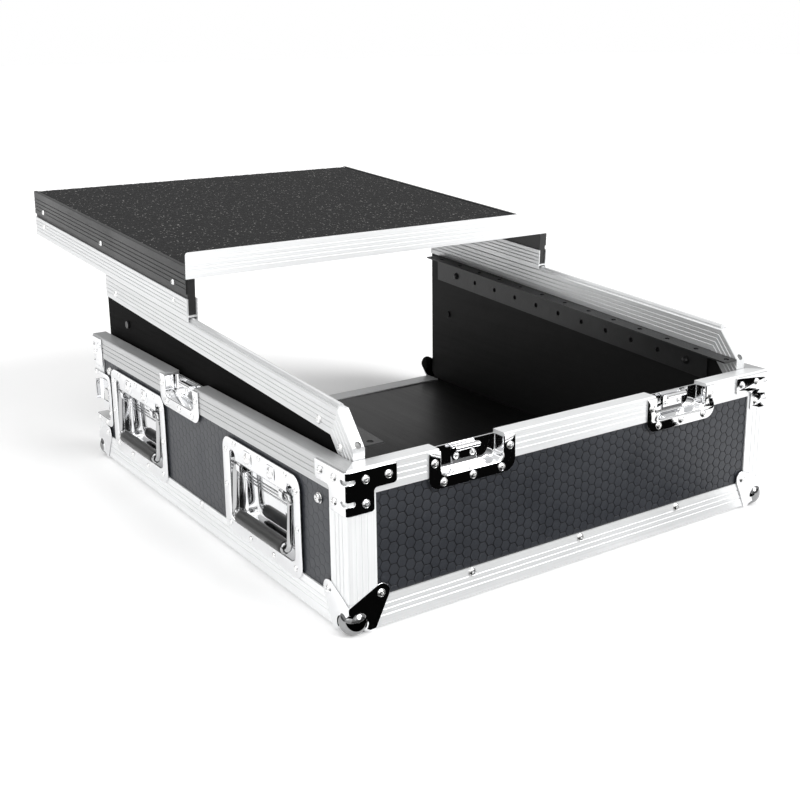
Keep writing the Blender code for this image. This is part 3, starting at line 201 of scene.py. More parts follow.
def makeAluminium(name, axis, tone, metal):  # satin extrusion, with die lines along one axis
    look = aluminiumLook
    finish = Finish(name)
    lines = finish.noise(grainAlong(axis, *look["lines"]), 4)
    hairs = finish.noise(grainAlong(axis, *look["hairs"]), 2)
    cloud = finish.noise(look["cloud"])
    dust = finish.noise(look["dust"], 4)
    bright = finish.span(lines, *look["streaked"]) * finish.span(cloud, *look["clouded"])
    return finish.set(Base_Color=finish.mix(bright, shade(0), shade(tone, look["tint"])), Metallic=metal,
                      Roughness=finish.span(cloud + dust * 0.5, *look["rough"]),
                      Normal=finish.bump(lines * 0.6 + hairs * 0.4, look["relief"]))


chromeLook = {"tone": 0.90, "wiped": 0.955, "tint": (0.985, 0.99, 1.0), "rough": 0.045, "relief": 0.00010,
              "least": 0.7, "most": 1.7, "waves": 26.0, "wipes": (40, 90, 30), "hairs": (1900, 60, 1900),
              "hairShare": 0.05}


def makeChrome(name, tone=chromeLook["tone"], rough=chromeLook["rough"], relief=chromeLook["relief"]):
    look = chromeLook  # polished pressing: faint waves, wipe marks and hairlines
    finish = Finish(name, Metallic=1.0)
    waves = finish.noise(look["waves"], 1)
    wipes = finish.noise(look["wipes"], 4)
    hairs = finish.noise(look["hairs"], 1)
    base = finish.tones(wipes, shade(tone * look["wiped"], look["tint"]), shade(tone, look["tint"]))
    haze = finish.span(wipes, rough * look["least"], rough * look["most"], 0.35, 0.75)
    return finish.set(Base_Color=base, Roughness=haze,
                      Normal=finish.bump(hairs * look["hairShare"] + waves, relief))


zincLook = {"tone": 0.80, "rough": 0.20, "dark": (0.98, 0.99, 1.0), "light": (1.0, 0.995, 0.98),
            "dull": 0.9, "least": 0.7, "most": 1.4, "grain": 700, "cloud": 60, "relief": 0.00003}


def makeZinc(name, tone=zincLook["tone"], rough=zincLook["rough"]):
    look = zincLook
    finish = Finish(name, Metallic=1.0)
    grain = finish.noise(look["grain"], 4)
    cloud = finish.noise(look["cloud"])
    base = finish.tones(cloud, shade(tone * look["dull"], look["dark"]), shade(tone, look["light"]))
    return finish.set(Base_Color=base,
                      Roughness=finish.span(grain, rough * look["least"], rough * look["most"]),
                      Normal=finish.bump(grain, look["relief"]))


laminateLook = {"tone": 0.029, "tint": (0.88, 0.97, 1.18), "rough": (0.35, 0.48), "grain": 1400, "cloud": 22,
                "scuffs": 330, "clouded": (0.8, 1.15), "grained": (0.88, 1.12),
                "scuffed": (0.0, 0.35, 0.66, 0.74), "scuffTone": 2.0, "relief": 0.00006}


def makeLaminate(name, tone=laminateLook["tone"]):  # a fine leathery grain over the pressed hexagons
    look = laminateLook
    finish = Finish(name, Specular_IOR_Level=0.5)
    grain = finish.noise(look["grain"], 4)
    cloud = finish.noise(look["cloud"], 4)
    scuffs = finish.noise(look["scuffs"], 2)
    depth = finish.span(cloud, *look["clouded"]) * finish.span(grain, *look["grained"])
    base = finish.mix(depth, shade(0), shade(tone, look["tint"]))
    base = finish.mix(finish.span(scuffs, *look["scuffed"]), base,
                      shade(tone * look["scuffTone"], look["tint"]))
    return finish.set(Base_Color=base, Roughness=finish.span(cloud, *look["rough"]),
                      Normal=finish.bump(grain, look["relief"]))


plyLook = {"tint": (1.0, 0.98, 1.0), "bends": (5.0, 1.4), "grain": (240.0, 7.0), "pores": (1500.0, 70.0),
           "grained": (0.75, 1.35, 0.5, 1.1), "pored": (0.0, 1.0, 0.60, 0.70), "poreShare": 0.5,
           "poreTone": 0.3, "roughRise": 0.18, "relief": 0.00012}


def makePly(name, axis, tone, rough, gloss=0.5):  # black stain on birch ply, its grain and pores showing
    look = plyLook
    finish = Finish(name, Specular_IOR_Level=gloss)
    bends = finish.noise(grainAlong(axis, *look["bends"]), 2)
    grain = finish.noise(grainAlong(axis, *look["grain"]), 5)
    pores = finish.span(finish.noise(grainAlong(axis, *look["pores"]), 2), *look["pored"])
    depth = finish.span(grain + bends * 0.6, *look["grained"])
    base = finish.mix(depth, shade(0), shade(tone, look["tint"]))
    base = finish.mix(pores * look["poreShare"], base, shade(tone * look["poreTone"]))
    dull = finish.span(bends + grain * 0.4, rough, rough + look["roughRise"], 0.45, 0.95)
    return finish.set(Base_Color=base, Roughness=dull,
                      Normal=finish.bump(grain * 0.5 - pores * 0.5, look["relief"]))


powderLook = {"dark": 0.012, "light": 0.018, "tint": (0.98, 1.0, 1.05), "rough": (0.30, 0.42), "peel": 750,
              "cloud": 30, "relief": 0.00012}


def makePowder():  # powder coat on steel: orange peel
    look = powderLook
    finish = Finish("blackPowderCoat", Specular_IOR_Level=0.5)
    peel = finish.noise(look["peel"], 2)
    cloud = finish.noise(look["cloud"])
    return finish.set(Base_Color=finish.tones(cloud, shade(look["dark"]), shade(look["light"], look["tint"])),
                      Roughness=finish.span(peel, *look["rough"]),
                      Normal=finish.bump(peel, look["relief"]))


gripLook = {"clean": 0.014, "dusty": 0.034, "tint": (1.0, 1.0, 1.03), "grain": 900, "dust": (70, 25, 70),
            "dusted": (0.0, 1.0, 0.45, 0.75), "rough": (0.34, 0.5), "relief": 0.00010}


def makeGrip():  # moulded rubber with dust in its grain
    look = gripLook
    finish = Finish("gripRubber", Sheen_Weight=0.15, Sheen_Roughness=0.5)
    grain = finish.noise(look["grain"], 4)
    dust = finish.noise(look["dust"], 5)
    base = finish.mix(finish.span(dust, *look["dusted"]), shade(look["clean"]),
                      shade(look["dusty"], look["tint"]))
    return finish.set(Base_Color=base, Roughness=finish.span(dust, *look["rough"]),
                      Normal=finish.bump(grain, look["relief"]))


carpetLook = {"tone": 0.010, "tint": (1, 1, 1.04), "fleck": 0.30, "fleckTint": (1.0, 0.98, 0.95),
              "fibres": 1100, "clumps": 150, "flecks": 270, "kinds": 210, "felted": (0.5, 1.7, 0.5, 1.1),
              "flecked": (1.0, 0.0, 0.16, 0.30), "chosen": (0.0, 1.0, 0.50, 0.60), "relief": 0.0005}


def makeCarpet():  # needle felt with pale flecks
    look = carpetLook
    finish = Finish("fleckedCarpet", Roughness=0.95, Specular_IOR_Level=0.15, Sheen_Weight=0.03,
                    Sheen_Roughness=0.6)
    fibres = finish.noise(look["fibres"], 4, 0.7)
    clumps = finish.noise(look["clumps"])
    flecks = finish.node("TexVoronoi", {"feature": "F1"}, {"Vector": finish.stretched(look["flecks"]),
                                                           "Scale": 1.0, "Randomness": 1.0})
    kinds = finish.noise(look["kinds"], 2.0, 0.5)
    lit = finish.span(flecks, *look["flecked"]) * finish.span(kinds, *look["chosen"])
    base = finish.mix(finish.span(fibres + clumps * 0.5, *look["felted"]), shade(0),
                      shade(look["tone"], look["tint"]))
    base = finish.mix(lit, base, shade(look["fleck"], look["fleckTint"]))
    return finish.set(Base_Color=base, Normal=finish.bump(fibres + clumps, look["relief"]))


finishes = {
    # the satin aluminium is one metal in lit and shaded copies: tone and metal share are set face by face as
    # painted light and shade, lower on the side top rails, slant rails and channels and near white on the
    # posts, lip and bottom side rails; the trims are near black
    "frontRails": makeAluminium("satinAluminiumX", 0, 0.84, 0.38),
    "lowRail": makeAluminium("satinAluminiumLow", 0, 0.82, 0.35),
    "sideRails": makeAluminium("satinAluminiumY", 1, 0.58, 0.55),
    "lowSides": makeAluminium("satinAluminiumLowSide", 1, 0.98, 0.30),
    "posts": makeAluminium("satinAluminiumZ", 2, 0.92, 0.28),
    "slantRails": makeAluminium("satinAluminiumSlant", 1, 0.76, 0.50),
    "channels": makeAluminium("satinAluminiumChannelShaded", 1, 0.80, 0.60),
    "trims": makeAluminium("satinAluminiumTrim", 1, 0.05, 0.85),
    # the disc in each leg's hole is dark zinc as painted shade for the hole's depth
    "holeShadeDisc": makeZinc("holeShadeZinc", 0.16, 0.45),
    "lip": makeAluminium("satinAluminiumLip", 0, 1.0, 0.22),
    "chrome": makeChrome("polishedChrome"),
    "zinc": makeZinc("brightZinc"),
    "rivet": makeZinc("rivetZinc", 0.97, 0.26),
    # the handle rods and the balls get darker chrome than the pressings, a painted reflection of dark
    # surroundings
    "rod": makeChrome("chromeRodPaintedDarkReflection", 0.48, 0.05, 0.00002),
    "ball": makeChrome("chromePaintedDarkReflection", 0.30, 0.05, 0.00004),
    # the side walls get a lighter copy of the laminate as painted light; the panels under the hexagons show
    # only in the grooves, the front one near black there as painted shade
    "laminate": makeLaminate("blackLaminate"),
    "seam": makeLaminate("laminateGrooveShade", 0.004),
    "sideGrooveShade": makeLaminate("laminateSideGrooveShade", 0.030),
    "sideLaminateLit": makeLaminate("sideLaminateLit", 0.036),
    "floorPly": makePly("blackPlyFloor", 1, 0.004, 0.28),
    # the wedge panels are one black ply in a shaded and a lit copy: the left one darker and duller, the right
    # one lighter and glossier, as painted shade and painted light
    "wedgePly": makePly("blackPlyLeftShaded", 1, 0.003, 0.60, 0.04),
    "wedgePlyRight": makePly("blackPlyRightLit", 1, 0.006, 0.50, 0.20),
    "boardPly": makePly("blackPlyBoard", 0, 0.016, 0.34),
    "steel": makePowder(),
    "grip": makeGrip(),
    "carpet": makeCarpet(),
}
print("finishes made:", len(finishes))


def stageSheet(name, outline, height, material):
    mesh = bpy.data.meshes.new(name)
    mesh.from_pydata([(x, y, height) for x, y in outline], [], [range(len(outline))])
    mesh.materials.append(material)
    sheet = linked(name, mesh)
    return sheet


def makeStage():
    floor = Finish("studioFloor", Roughness=0.9, Specular_IOR_Level=0.1, Emission_Color=shade(1),
                   Emission_Strength=studio["floorGlow"])
    tone = studio["floorTone"]
    floor.set(Base_Color=floor.tones(floor.noise(3), shade(tone - 0.01), shade(tone)))
    half = studio["floorWidth"] / 2
    stageSheet("studioFloor", [(-half, -half), (half, -half), (half, half), (-half, half)],
               studio["floorHeight"], floor.material)
    black = Finish("blackCard", Base_Color=shade(0.002), Roughness=1.0, Specular_IOR_Level=0.0)
    for outline in studio["cards"]:  # black cards on the floor, seen by the polished metal alone
        card = stageSheet("blackCard", outline, studio["cardHeight"], black.material)
        card.visible_camera = card.visible_diffuse = card.visible_shadow = False


def makeSky():  # white behind the case, an even light on it, and a darker horizon in the plating
    world = bpy.data.worlds.new("studioWorld")
    world.use_nodes = True
    sky = NodeMaker(world.node_tree)
    height = sky.node("SeparateXYZ", None, {0: sky.node("TexCoord", out="Generated")}, "Z")
    mirrored = sky.node("ValToRGB", {"stops": studio["mirrored"]}, {0: sky.span(height, 0, 1, -1, 1)})
    lit = sky.mix(sky.node("LightPath", out="Is Glossy Ray"), shade(studio["sky"]), mirrored)
    seen = sky.mix(sky.node("LightPath", out="Is Camera Ray"), lit, shade(1))
    sky.inputs(world.node_tree.nodes["Background"], {"Color": seen})
    bpy.context.scene.world = world
    bpy.context.scene.view_settings.view_transform = "Standard"


makeStage()
makeSky()
print("studio made")

# finishes on the CAD pieces

nodeFinish = {
    "front_top_rail": "frontRails", "front_bottom_rail": "lowRail", "rear_sill": "lowRail",
    "left_top_rail": "sideRails", "right_top_rail": "sideRails",
    "left_bottom_rail": "lowSides", "right_bottom_rail": "lowSides",
    "front_left_post": "posts", "front_right_post": "posts",
    "rear_left_post": "posts", "rear_right_post": "posts",
    "left_slant_rail": "slantRails", "right_slant_rail": "slantRails",
    "left_shelf_channel": "channels", "right_shelf_channel": "channels",
    "left_shelf_trim": "trims", "right_shelf_trim": "trims", "shelf_lip": "lip",
    "front_panel": "seam", "left_panel": "sideGrooveShade", "right_panel": "sideGrooveShade",
    "floor_panel": "floorPly", "left_wedge_panel": "wedgePly", "right_wedge_panel": "wedgePlyRight",
    "shelf_board": "boardPly", "shelf_carpet": "carpet",
    "left_rack_rail": "steel", "right_rack_rail": "steel",
}
kindFinish = {"grip": "grip", "bail": "rod", "hub": "zinc"}  # by a word in the name; the rest is chrome
for nodeName, node in nodes.items():
    byWord = [look for word, look in kindFinish.items() if word in nodeName]
    key = nodeFinish.get(nodeName) or (byWord + ["chrome"])[0]
    node.data.materials.clear()
    node.data.materials.append(finishes[key])
print("CAD pieces finished")

# shapes

caseSize = {"halfWidth": 0.273, "depth": 0.608, "middle": 0.427462, "lift": 0.004, "plateBack": 0.0003,
            "plateFront": 0.0015}
slantSize = {"angle": math.radians(3.5), "back": 0.5986, "base": 0.2026, "outer": 0.2548, "inner": 0.2422,
             "foldY": 0.0426, "legAngle": math.radians(49.8), "legEnd": (0.0179, 0.16675), "hole": 0.0022}
shelfSize = {"length": 0.505, "past": 0.263}  # how far it stands behind the slanted rails' back end


def frameOf(origin, right, up):
    right, up = Vector(right), Vector(up)
    turned = Matrix((right, up, right.cross(up))).transposed().to_4x4()
    turned.translation = origin
    return turned


def wallFrame(name):  # x to the right as seen from outside, y up, z out of the wall
    middle, lift, half = caseSize["middle"], caseSize["lift"], caseSize["halfWidth"]
    return {"front": frameOf((0, -middle, lift), (1, 0, 0), (0, 0, 1)),
            "left": frameOf((-half, -middle, lift), (0, -1, 0), (0, 0, 1)),
            "right": frameOf((half, -middle, lift), (0, 1, 0), (0, 0, 1)),
            "rear": frameOf((0, caseSize["depth"] - middle, lift), (-1, 0, 0), (0, 0, 1)),
            "under": frameOf((0, -middle, lift), (1, 0, 0), (0, -1, 0))}[name]


def moved(place, x, y, z=0.0):
    return place @ Matrix.Translation((x, y, z))


def slopeFrame(y, z, angle):  # x across the case, y up the slope
    return frameOf((0, y - caseSize["middle"], z + caseSize["lift"]), (1, 0, 0),
                   (0, math.cos(angle), math.sin(angle)))


slantFrame = slopeFrame(slantSize["back"], slantSize["base"], slantSize["angle"])
shelfFrame = moved(slantFrame, 0, shelfSize["past"] - shelfSize["length"])
legFace = slopeFrame(*slantSize["legEnd"], slantSize["legAngle"])


def slantSide(side, base):  # frame on the outer face of the slanted parts, x along the slope
    turn = Matrix(((0, 0, side), (side, 0, 0), (0, 1, 0))).to_4x4()
    return moved(base, side * slantSize["outer"], 0) @ turn


def arc(centre, radius, start, end, steps):  # points round a part of a circle, both ends among them
    turns = [start + (end - start) * step / steps for step in range(steps + 1)]
    return [Vector(centre) + Vector((math.cos(turn), math.sin(turn))) * radius for turn in turns]


def circle(radius, height, steps=20):
    turns = [2 * math.pi * step / steps for step in range(steps)]
    return [(radius * math.cos(turn), radius * math.sin(turn), height) for turn in turns]


def softOutline(corners, radii, steps=5):  # a closed outline with its corners rounded
    made = []
    for index, corner in enumerate(corners):
        here = Vector(corner)
        before = Vector(corners[index - 1]) - here
        after = Vector(corners[(index + 1) % len(corners)]) - here
        radius = radii[index] if isinstance(radii, (list, tuple)) else radii
        opening = before.angle(after)
        reach = min(radius / math.tan(opening / 2), 0.49 * before.length, 0.49 * after.length)
        if reach < 1e-6:
            made.append(here)
            continue
        before.normalize()
        after.normalize()
        start, end = here + before * reach, here + after * reach
        centre = here + (before + after).normalized() * (reach / math.cos(opening / 2))
        for step in range(steps + 1):
            share = step / steps
            first, last = start - centre, end - centre
            sweep = first.angle_signed(last)
            made.append(centre + Matrix.Rotation(-sweep * share, 2) @ first)
    return made


def boxOutline(left, right, low, high, radius, steps=5):
    return softOutline([(left, low), (right, low), (right, high), (left, high)], radius, steps)


def grown(outline, amount):  # moves an anticlockwise outline outwards
    made = []
    for index, point in enumerate(outline):
        before = (point - outline[index - 1]).normalized()
        after = (outline[(index + 1) % len(outline)] - point).normalized()
        first, second = Vector((before.y, -before.x)), Vector((after.y, -after.x))
        out = (first + second).normalized()
        made.append(point + out * (amount / max(out.dot(first), 0.5)))
    return made


def raised(outline, levels):  # the outline grown by an amount at each level
    return [[(*point, level) for point in grown(outline, amount)] for amount, level in levels]


class Shape:  # gathers the faces of one piece
    def __init__(self, heads=False):
        self.mesh = bmesh.new()
        self.heads = Shape() if heads else None

    def rings(self, rings, place, bottom=False, top=False, closed=True):  # skins rings, each anticlockwise
        made = [[self.mesh.verts.new(place @ Vector(point)) for point in ring] for ring in rings]
        count = len(made[0])
        faces = []
        for lower, upper in zip(made, made[1:]):
            for index in range(count if closed else count - 1):
                after = (index + 1) % count
                faces.append(self.mesh.faces.new((lower[index], lower[after], upper[after], upper[index])))
        if bottom:
            faces.append(self.mesh.faces.new(tuple(reversed(made[0]))))
        if top:
            faces.append(self.mesh.faces.new(made[-1]))
        return faces

    def lathe(self, profile, place, steps=20):  # profile of (radius, height), from the outside foot inwards
        self.rings([circle(radius, height, steps) for radius, height in profile], place, top=True)

    def sweep(self, path, radius, steps=14):
        rings = []
        side = (path[1] - path[0]).orthogonal()
        for index, point in enumerate(path):
            ahead = (path[min(index + 1, len(path) - 1)] - path[max(index - 1, 0)]).normalized()
            side = (side - ahead * side.dot(ahead)).normalized()
            other = ahead.cross(side)
            rings.append([point + side * x + other * y for x, y, _ in circle(radius, 0, steps)])
        self.rings(rings, Matrix.Identity(4), bottom=True, top=True)

    def sheet(self, loops, place, low, high, edge, rounds=2):  # a flat plate with rounded edges and holes
        curve = bpy.data.curves.new("outline", "CURVE")
        curve.dimensions = "2D"
        curve.fill_mode = "BOTH"
        curve.extrude = (high - low) / 2 - edge
        curve.bevel_depth = edge
        curve.bevel_resolution = rounds
        curve.offset = -edge
        for loop in loops:
            line = curve.splines.new("POLY")
            line.points.add(len(loop) - 1)
            for knot, point in zip(line.points, loop):
                knot.co = (point[0], point[1], 0, 1)
            line.use_cyclic_u = True
        holder = linked("outline", curve)
        flat = bpy.data.meshes.new_from_object(holder.evaluated_get(bpy.context.evaluated_depsgraph_get()))
        flat.transform(place @ Matrix.Translation((0, 0, (low + high) / 2)))
        self.mesh.from_mesh(flat)
        bpy.data.objects.remove(holder)
        bpy.data.curves.remove(curve)
        bpy.data.meshes.remove(flat)

    def bent(self, corner, radius, slices=6):  # folds what was drawn flat about the edge x = 0, towards -z
        reach = radius * math.pi / 4
        for index in range(slices + 1):
            at = -reach + 2 * reach * index / slices
            everything = list(self.mesh.verts) + list(self.mesh.edges) + list(self.mesh.faces)
            bmesh.ops.bisect_plane(self.mesh, geom=everything, plane_co=(at, 0, 0), plane_no=(1, 0, 0))
        flat = radius - reach
        for vert in self.mesh.verts:
            x, y, z = vert.co
            if x < -reach:
                spot = Vector((x - flat, y, z))
            elif x > reach:
                spot = Vector((z, y, -x - flat))
            else:
                turn = (x + reach) / radius
                out = radius + z
                spot = Vector((-radius + out * math.sin(turn), y, -radius + out * math.cos(turn)))
            vert.co = corner @ spot

    def piece(self, name, body, look, slot, replaced=(), angle=34):
        bmesh.ops.remove_doubles(self.mesh, verts=self.mesh.verts, dist=2e-6)
        loose = [face for face in self.mesh.faces if face.calc_area() < 1e-13]
        bmesh.ops.delete(self.mesh, geom=loose, context="FACES")
        for face in self.mesh.faces:
            face.smooth = True
        for line in self.mesh.edges:
            line.smooth = len(line.link_faces) == 2 and line.calc_face_angle(0) < math.radians(angle)
        mesh = bpy.data.meshes.new(name)
        self.mesh.to_mesh(mesh)
        self.mesh.free()
        mesh.materials.append(finishes[look])
        made = linked(name, mesh)
        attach(made, body)
        if replaced:
            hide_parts(*replaced)
        if self.heads:
            self.heads.piece(name + "_rivets", body, "rivet", "zinc")
        return made


rivetLook = {"radius": 0.0040, "height": 0.0020,  # the profile runs from the rim to the mandrel's mark
             "profile": ((1.0, 0.0), (1.0, 0.14), (0.96, 0.30), (0.90, 0.40), (0.86, 0.36), (0.82, 0.48),
                         (0.72, 0.78), (0.58, 0.94), (0.42, 1.0), (0.34, 0.98), (0.29, 0.80), (0.25, 0.30),
                         (0.12, 0.20))}


def rivet(shape, place, radius=rivetLook["radius"], height=None):  # a domed head with a set ring
    rise = height or rivetLook["height"] * radius / rivetLook["radius"]
    profile = [(radius * across, rise * up) for across, up in rivetLook["profile"]]
    (shape.heads or shape).lathe(profile, place)


boltLook = {"washer": ((0.0054, 0.0), (0.0054, 0.0008), (0.0051, 0.0011), (0.0047, 0.0011)),
            "head": ((0.0046, 0.0013), (0.0046, 0.0021), (0.00437, 0.0028), (0.00368, 0.0035),
                     (0.00276, 0.0039), (0.0023, 0.0040), (0.0020, 0.0038)),
            "socket": ((0.00204, 0.00385), (0.0020, 0.0036), (0.00196, 0.0022))}


def panBolt(shape, place):  # pan head with a six-sided socket, on a washer
    shape.lathe(boltLook["washer"] + boltLook["head"], place, 18)
    shape.lathe(boltLook["socket"], place @ Matrix.Rotation(math.pi / 6, 4, "Z"), 6)


# laminate, pressed with hexagons

hexLook = {"columnStep": 0.0092, "rowStep": 0.0106, "foot": 0.0018, "rise": 0.0004, "sideRelief": 0.45,
           "smallest": 0.0012, "under": 0.006,
           "steps": ((0.000396, -0.1), (0.00045, 0.72), (0.00066, 0.93), (0.00105, 1.0))}  # inset, rise


def clipped(outline, edgeX, edgeY, keepX, keepY):  # the part of an outline on one side of a line
    made = []
    edge, keep = Vector((edgeX, edgeY)), Vector((keepX, keepY))
    for index, point in enumerate(outline):
        before = outline[index - 1]
        gap, oldGap = (point - edge).dot(keep), (before - edge).dot(keep)
        if gap * oldGap < 0:
            made.append(before.lerp(point, oldGap / (oldGap - gap)))
        if gap >= 0:
            made.append(point)
    return made


def hexagonSheet(name, place, window, plates, look, relief=1.0):
    left, right, low, high = window
    margin, height = hexLook["under"], hexLook["rise"] * relief
    reach = hexLook["rowStep"] / math.sqrt(3)
    shape = Shape()
    column = 0
    across = left - hexLook["columnStep"]
    while across < right + hexLook["columnStep"]:
        up = low - hexLook["rowStep"] * (1.5 - 0.5 * (column % 2))
        while up < high + hexLook["rowStep"]:
            up += hexLook["rowStep"]
            if any(a + margin < across < b - margin and c + margin < up < d - margin
                   for a, b, c, d in plates):  # under a plate
                continue
            outline = arc((across, up), reach, 0, math.pi * 5 / 3, 5)
            for edge in ((left, 0, 1, 0), (right, 0, -1, 0), (0, low, 0, 1), (0, high, 0, -1)):
                outline = clipped(outline, *edge) if len(outline) > 2 else []
            if len(outline) < 3:
                continue
            middle = sum(outline, Vector((0, 0))) / len(outline)
            if min((point - middle).length for point in outline) < hexLook["smallest"]:
                continue
            rings = []
            for inset, rise in hexLook["steps"]:
                share = 1 - min(inset / reach * 2 / math.sqrt(3), 0.6)
                rings.append([(*(middle + (point - middle) * share), height * rise - hexLook["foot"])
                              for point in outline])
            shape.rings(rings, place, top=True)
        column += 1
        across += hexLook["columnStep"]
    shape.piece(name, "case", look, "laminate", angle=50)


wallWindow = {"low": 0.0292, "high": 0.1288, "front": 0.0303, "rear": 0.0173}  # what the rails leave open
frontPlates = [(-0.187, -0.087, 0.117, 0.155), (0.087, 0.187, 0.117, 0.155),
               (-0.273, -0.245, 0.1127, 0.155), (0.245, 0.273, 0.1127, 0.155)]
sidePlates = [(0.081, 0.241, 0.020, 0.124), (0.3905, 0.5505, 0.020, 0.124), (0.296, 0.396, 0.117, 0.155),
              (0.5555, 0.608, 0.043, 0.1105)]
frontReach = caseSize["halfWidth"] - wallWindow["front"]
hexagonSheet("front_laminate", wallFrame("front"),
             (-frontReach, frontReach, wallWindow["low"], wallWindow["high"]), frontPlates, "laminate")
for label, side in (("left", -1), ("right", 1)):
    ends = sorted((side * wallWindow["front"], side * (caseSize["depth"] - wallWindow["rear"])))
    plates = [(*sorted((side * near, side * far)), low, high) for near, far, low, high in sidePlates]
    hexagonSheet(f"{label}_laminate", wallFrame(label), (*ends, wallWindow["low"], wallWindow["high"]),
                 plates, "sideLaminateLit", hexLook["sideRelief"])
print("laminate pressed")

# corner brackets

bracketLook = {"reach": 0.052, "band": 0.0187, "arm": 0.028, "drop": 0.0405, "top": 0.1532, "bend": 0.0030,
               "edge": 0.00050, "sheet": 0.0012, "lowRound": 0.003, "bandRound": 0.0035,
               "topRound": 0.0015, "slotReach": 0.0078, "slotHalf": 0.0019, "slotRound": 0.001862,
               "slots": (0.1438, 0.1238), "heads": ((0.0428, 0.144), (0.019, 0.144), (0.019, 0.1215)),
               "rearDrop": 0.0355, "rearBack": 0.0167, "rearSide": 0.0305,
               "rearHeads": ((0.025, 0.145), (0.0093, 0.1335)), "rearBackHead": 0.00835}


def foldedBracket(name, corner, reaches, arms, drop, heads):  # both faces drawn flat, then folded
    look = bracketLook
    top, low, band = look["top"], look["top"] - drop, look["top"] - look["band"]
    give = look["bend"] * (2 - math.pi / 2) / 2
    outline = [(-arms[0] + give, low), (arms[1] - give, low)]
    radii = [look["lowRound"]] * 2
    if reaches[1] > arms[1]:
        outline += [(arms[1] - give, band), (reaches[1] - give, band)]
        radii += [look["bandRound"]] * 2
    outline += [(reaches[1] - give, top), (-reaches[0] + give, top)]
    radii += [look["topRound"]] * 2
    if reaches[0] > arms[0]:
        outline += [(-reaches[0] + give, band), (-arms[0] + give, band)]
        radii += [look["bandRound"]] * 2
    slots = [boxOutline(-look["slotReach"], look["slotReach"], z - look["slotHalf"], z + look["slotHalf"],
                        look["slotRound"], 4) for z in look["slots"]]
    shape = Shape(heads=True)
    shape.sheet([softOutline(outline, radii, 4)] + slots, Matrix.Identity(4), 0.0, look["sheet"],
                look["edge"])
    shape.bent(moved(corner, caseSize["plateBack"], 0, caseSize["plateBack"]), look["bend"])
    for inward, z, face in heads:
        if face == 0:
            spot = moved(corner, -inward, z, caseSize["plateFront"])
        else:
            spot = corner @ frameOf((caseSize["plateFront"], z, -inward), (0, 0, -1), (0, 1, 0))
        rivet(shape, spot)
    shape.piece(name, "case", "chrome", "chrome", [name.replace("bracket", "corner_bracket")])


def cornerFrame(end, label):  # x = 0 and z = 0 on the case's upright edge: faces run to -x and to -z
    half, deep = caseSize["halfWidth"], caseSize["depth"]
    name = {("front", "right"): ("front", half), ("rear", "left"): ("rear", half),
            ("front", "left"): ("left", 0.0), ("rear", "right"): ("right", deep)}[(end, label)]
    return moved(wallFrame(name[0]), name[1], 0)


for label in ("left", "right"):
    look = bracketLook
    heads = [(*head, face) for head in look["heads"] for face in (0, 1)]
    foldedBracket(f"front_{label}_bracket", cornerFrame("front", label), (look["reach"],) * 2,
                  (look["arm"],) * 2, look["drop"], heads)
    back, reaches = 0, (look["rearBack"], look["rearSide"])
    if label == "right":  # its first face is on the side wall
        back, reaches = 1, reaches[::-1]
    heads = [(*head, 1 - back) for head in look["rearHeads"]]
    heads += [(look["rearBackHead"], z, back) for _, z in look["rearHeads"]]
    foldedBracket(f"rear_{label}_bracket", cornerFrame("rear", label), reaches, reaches,
                  look["rearDrop"], heads)
print("corner brackets folded")

# ball corners

ballLook = {"radius": 0.0135, "inset": 0.009, "foot": 0.027, "lobe": 0.033, "lobeRadius": 0.0093,
            "footRound": 0.0012, "edge": 0.0005, "cut": 0.0180, "fold": -0.00145, "around": 40, "down": 26,
            "collarFrom": math.radians(-40), "collarTo": math.radians(130), "collarEdge": 0.0001,
            "collar": ((0.0036, 0.00002), (0.00216, 0.00015), (0.00108, 0.0006), (0.0, 0.0012),
                       (-0.0008, 0.0016)),
            "inside": 0.0003, "behind": 0.002, "ground": 0.0002}


def leafOutline():  # one leaf, from the cut at the case's tip to the riveted lobe
    look = ballLook
    lobe, foot, near, rounded = look["lobe"], look["foot"], look["fold"], look["footRound"]
    spread = math.acos(look["lobeRadius"] / math.hypot(lobe - foot, lobe))
    start = math.atan2(lobe, lobe - foot) - math.pi + spread
    opening = look["cut"] - 2 * near
    half = [(opening, near), (foot - rounded, near), (foot, near + rounded * 2 / 3)]
    return ([Vector(point) for point in half]
            + arc((lobe, lobe), look["lobeRadius"], start, math.pi / 2 - start, 16)
            + [Vector(point[::-1]) for point in reversed(half)])


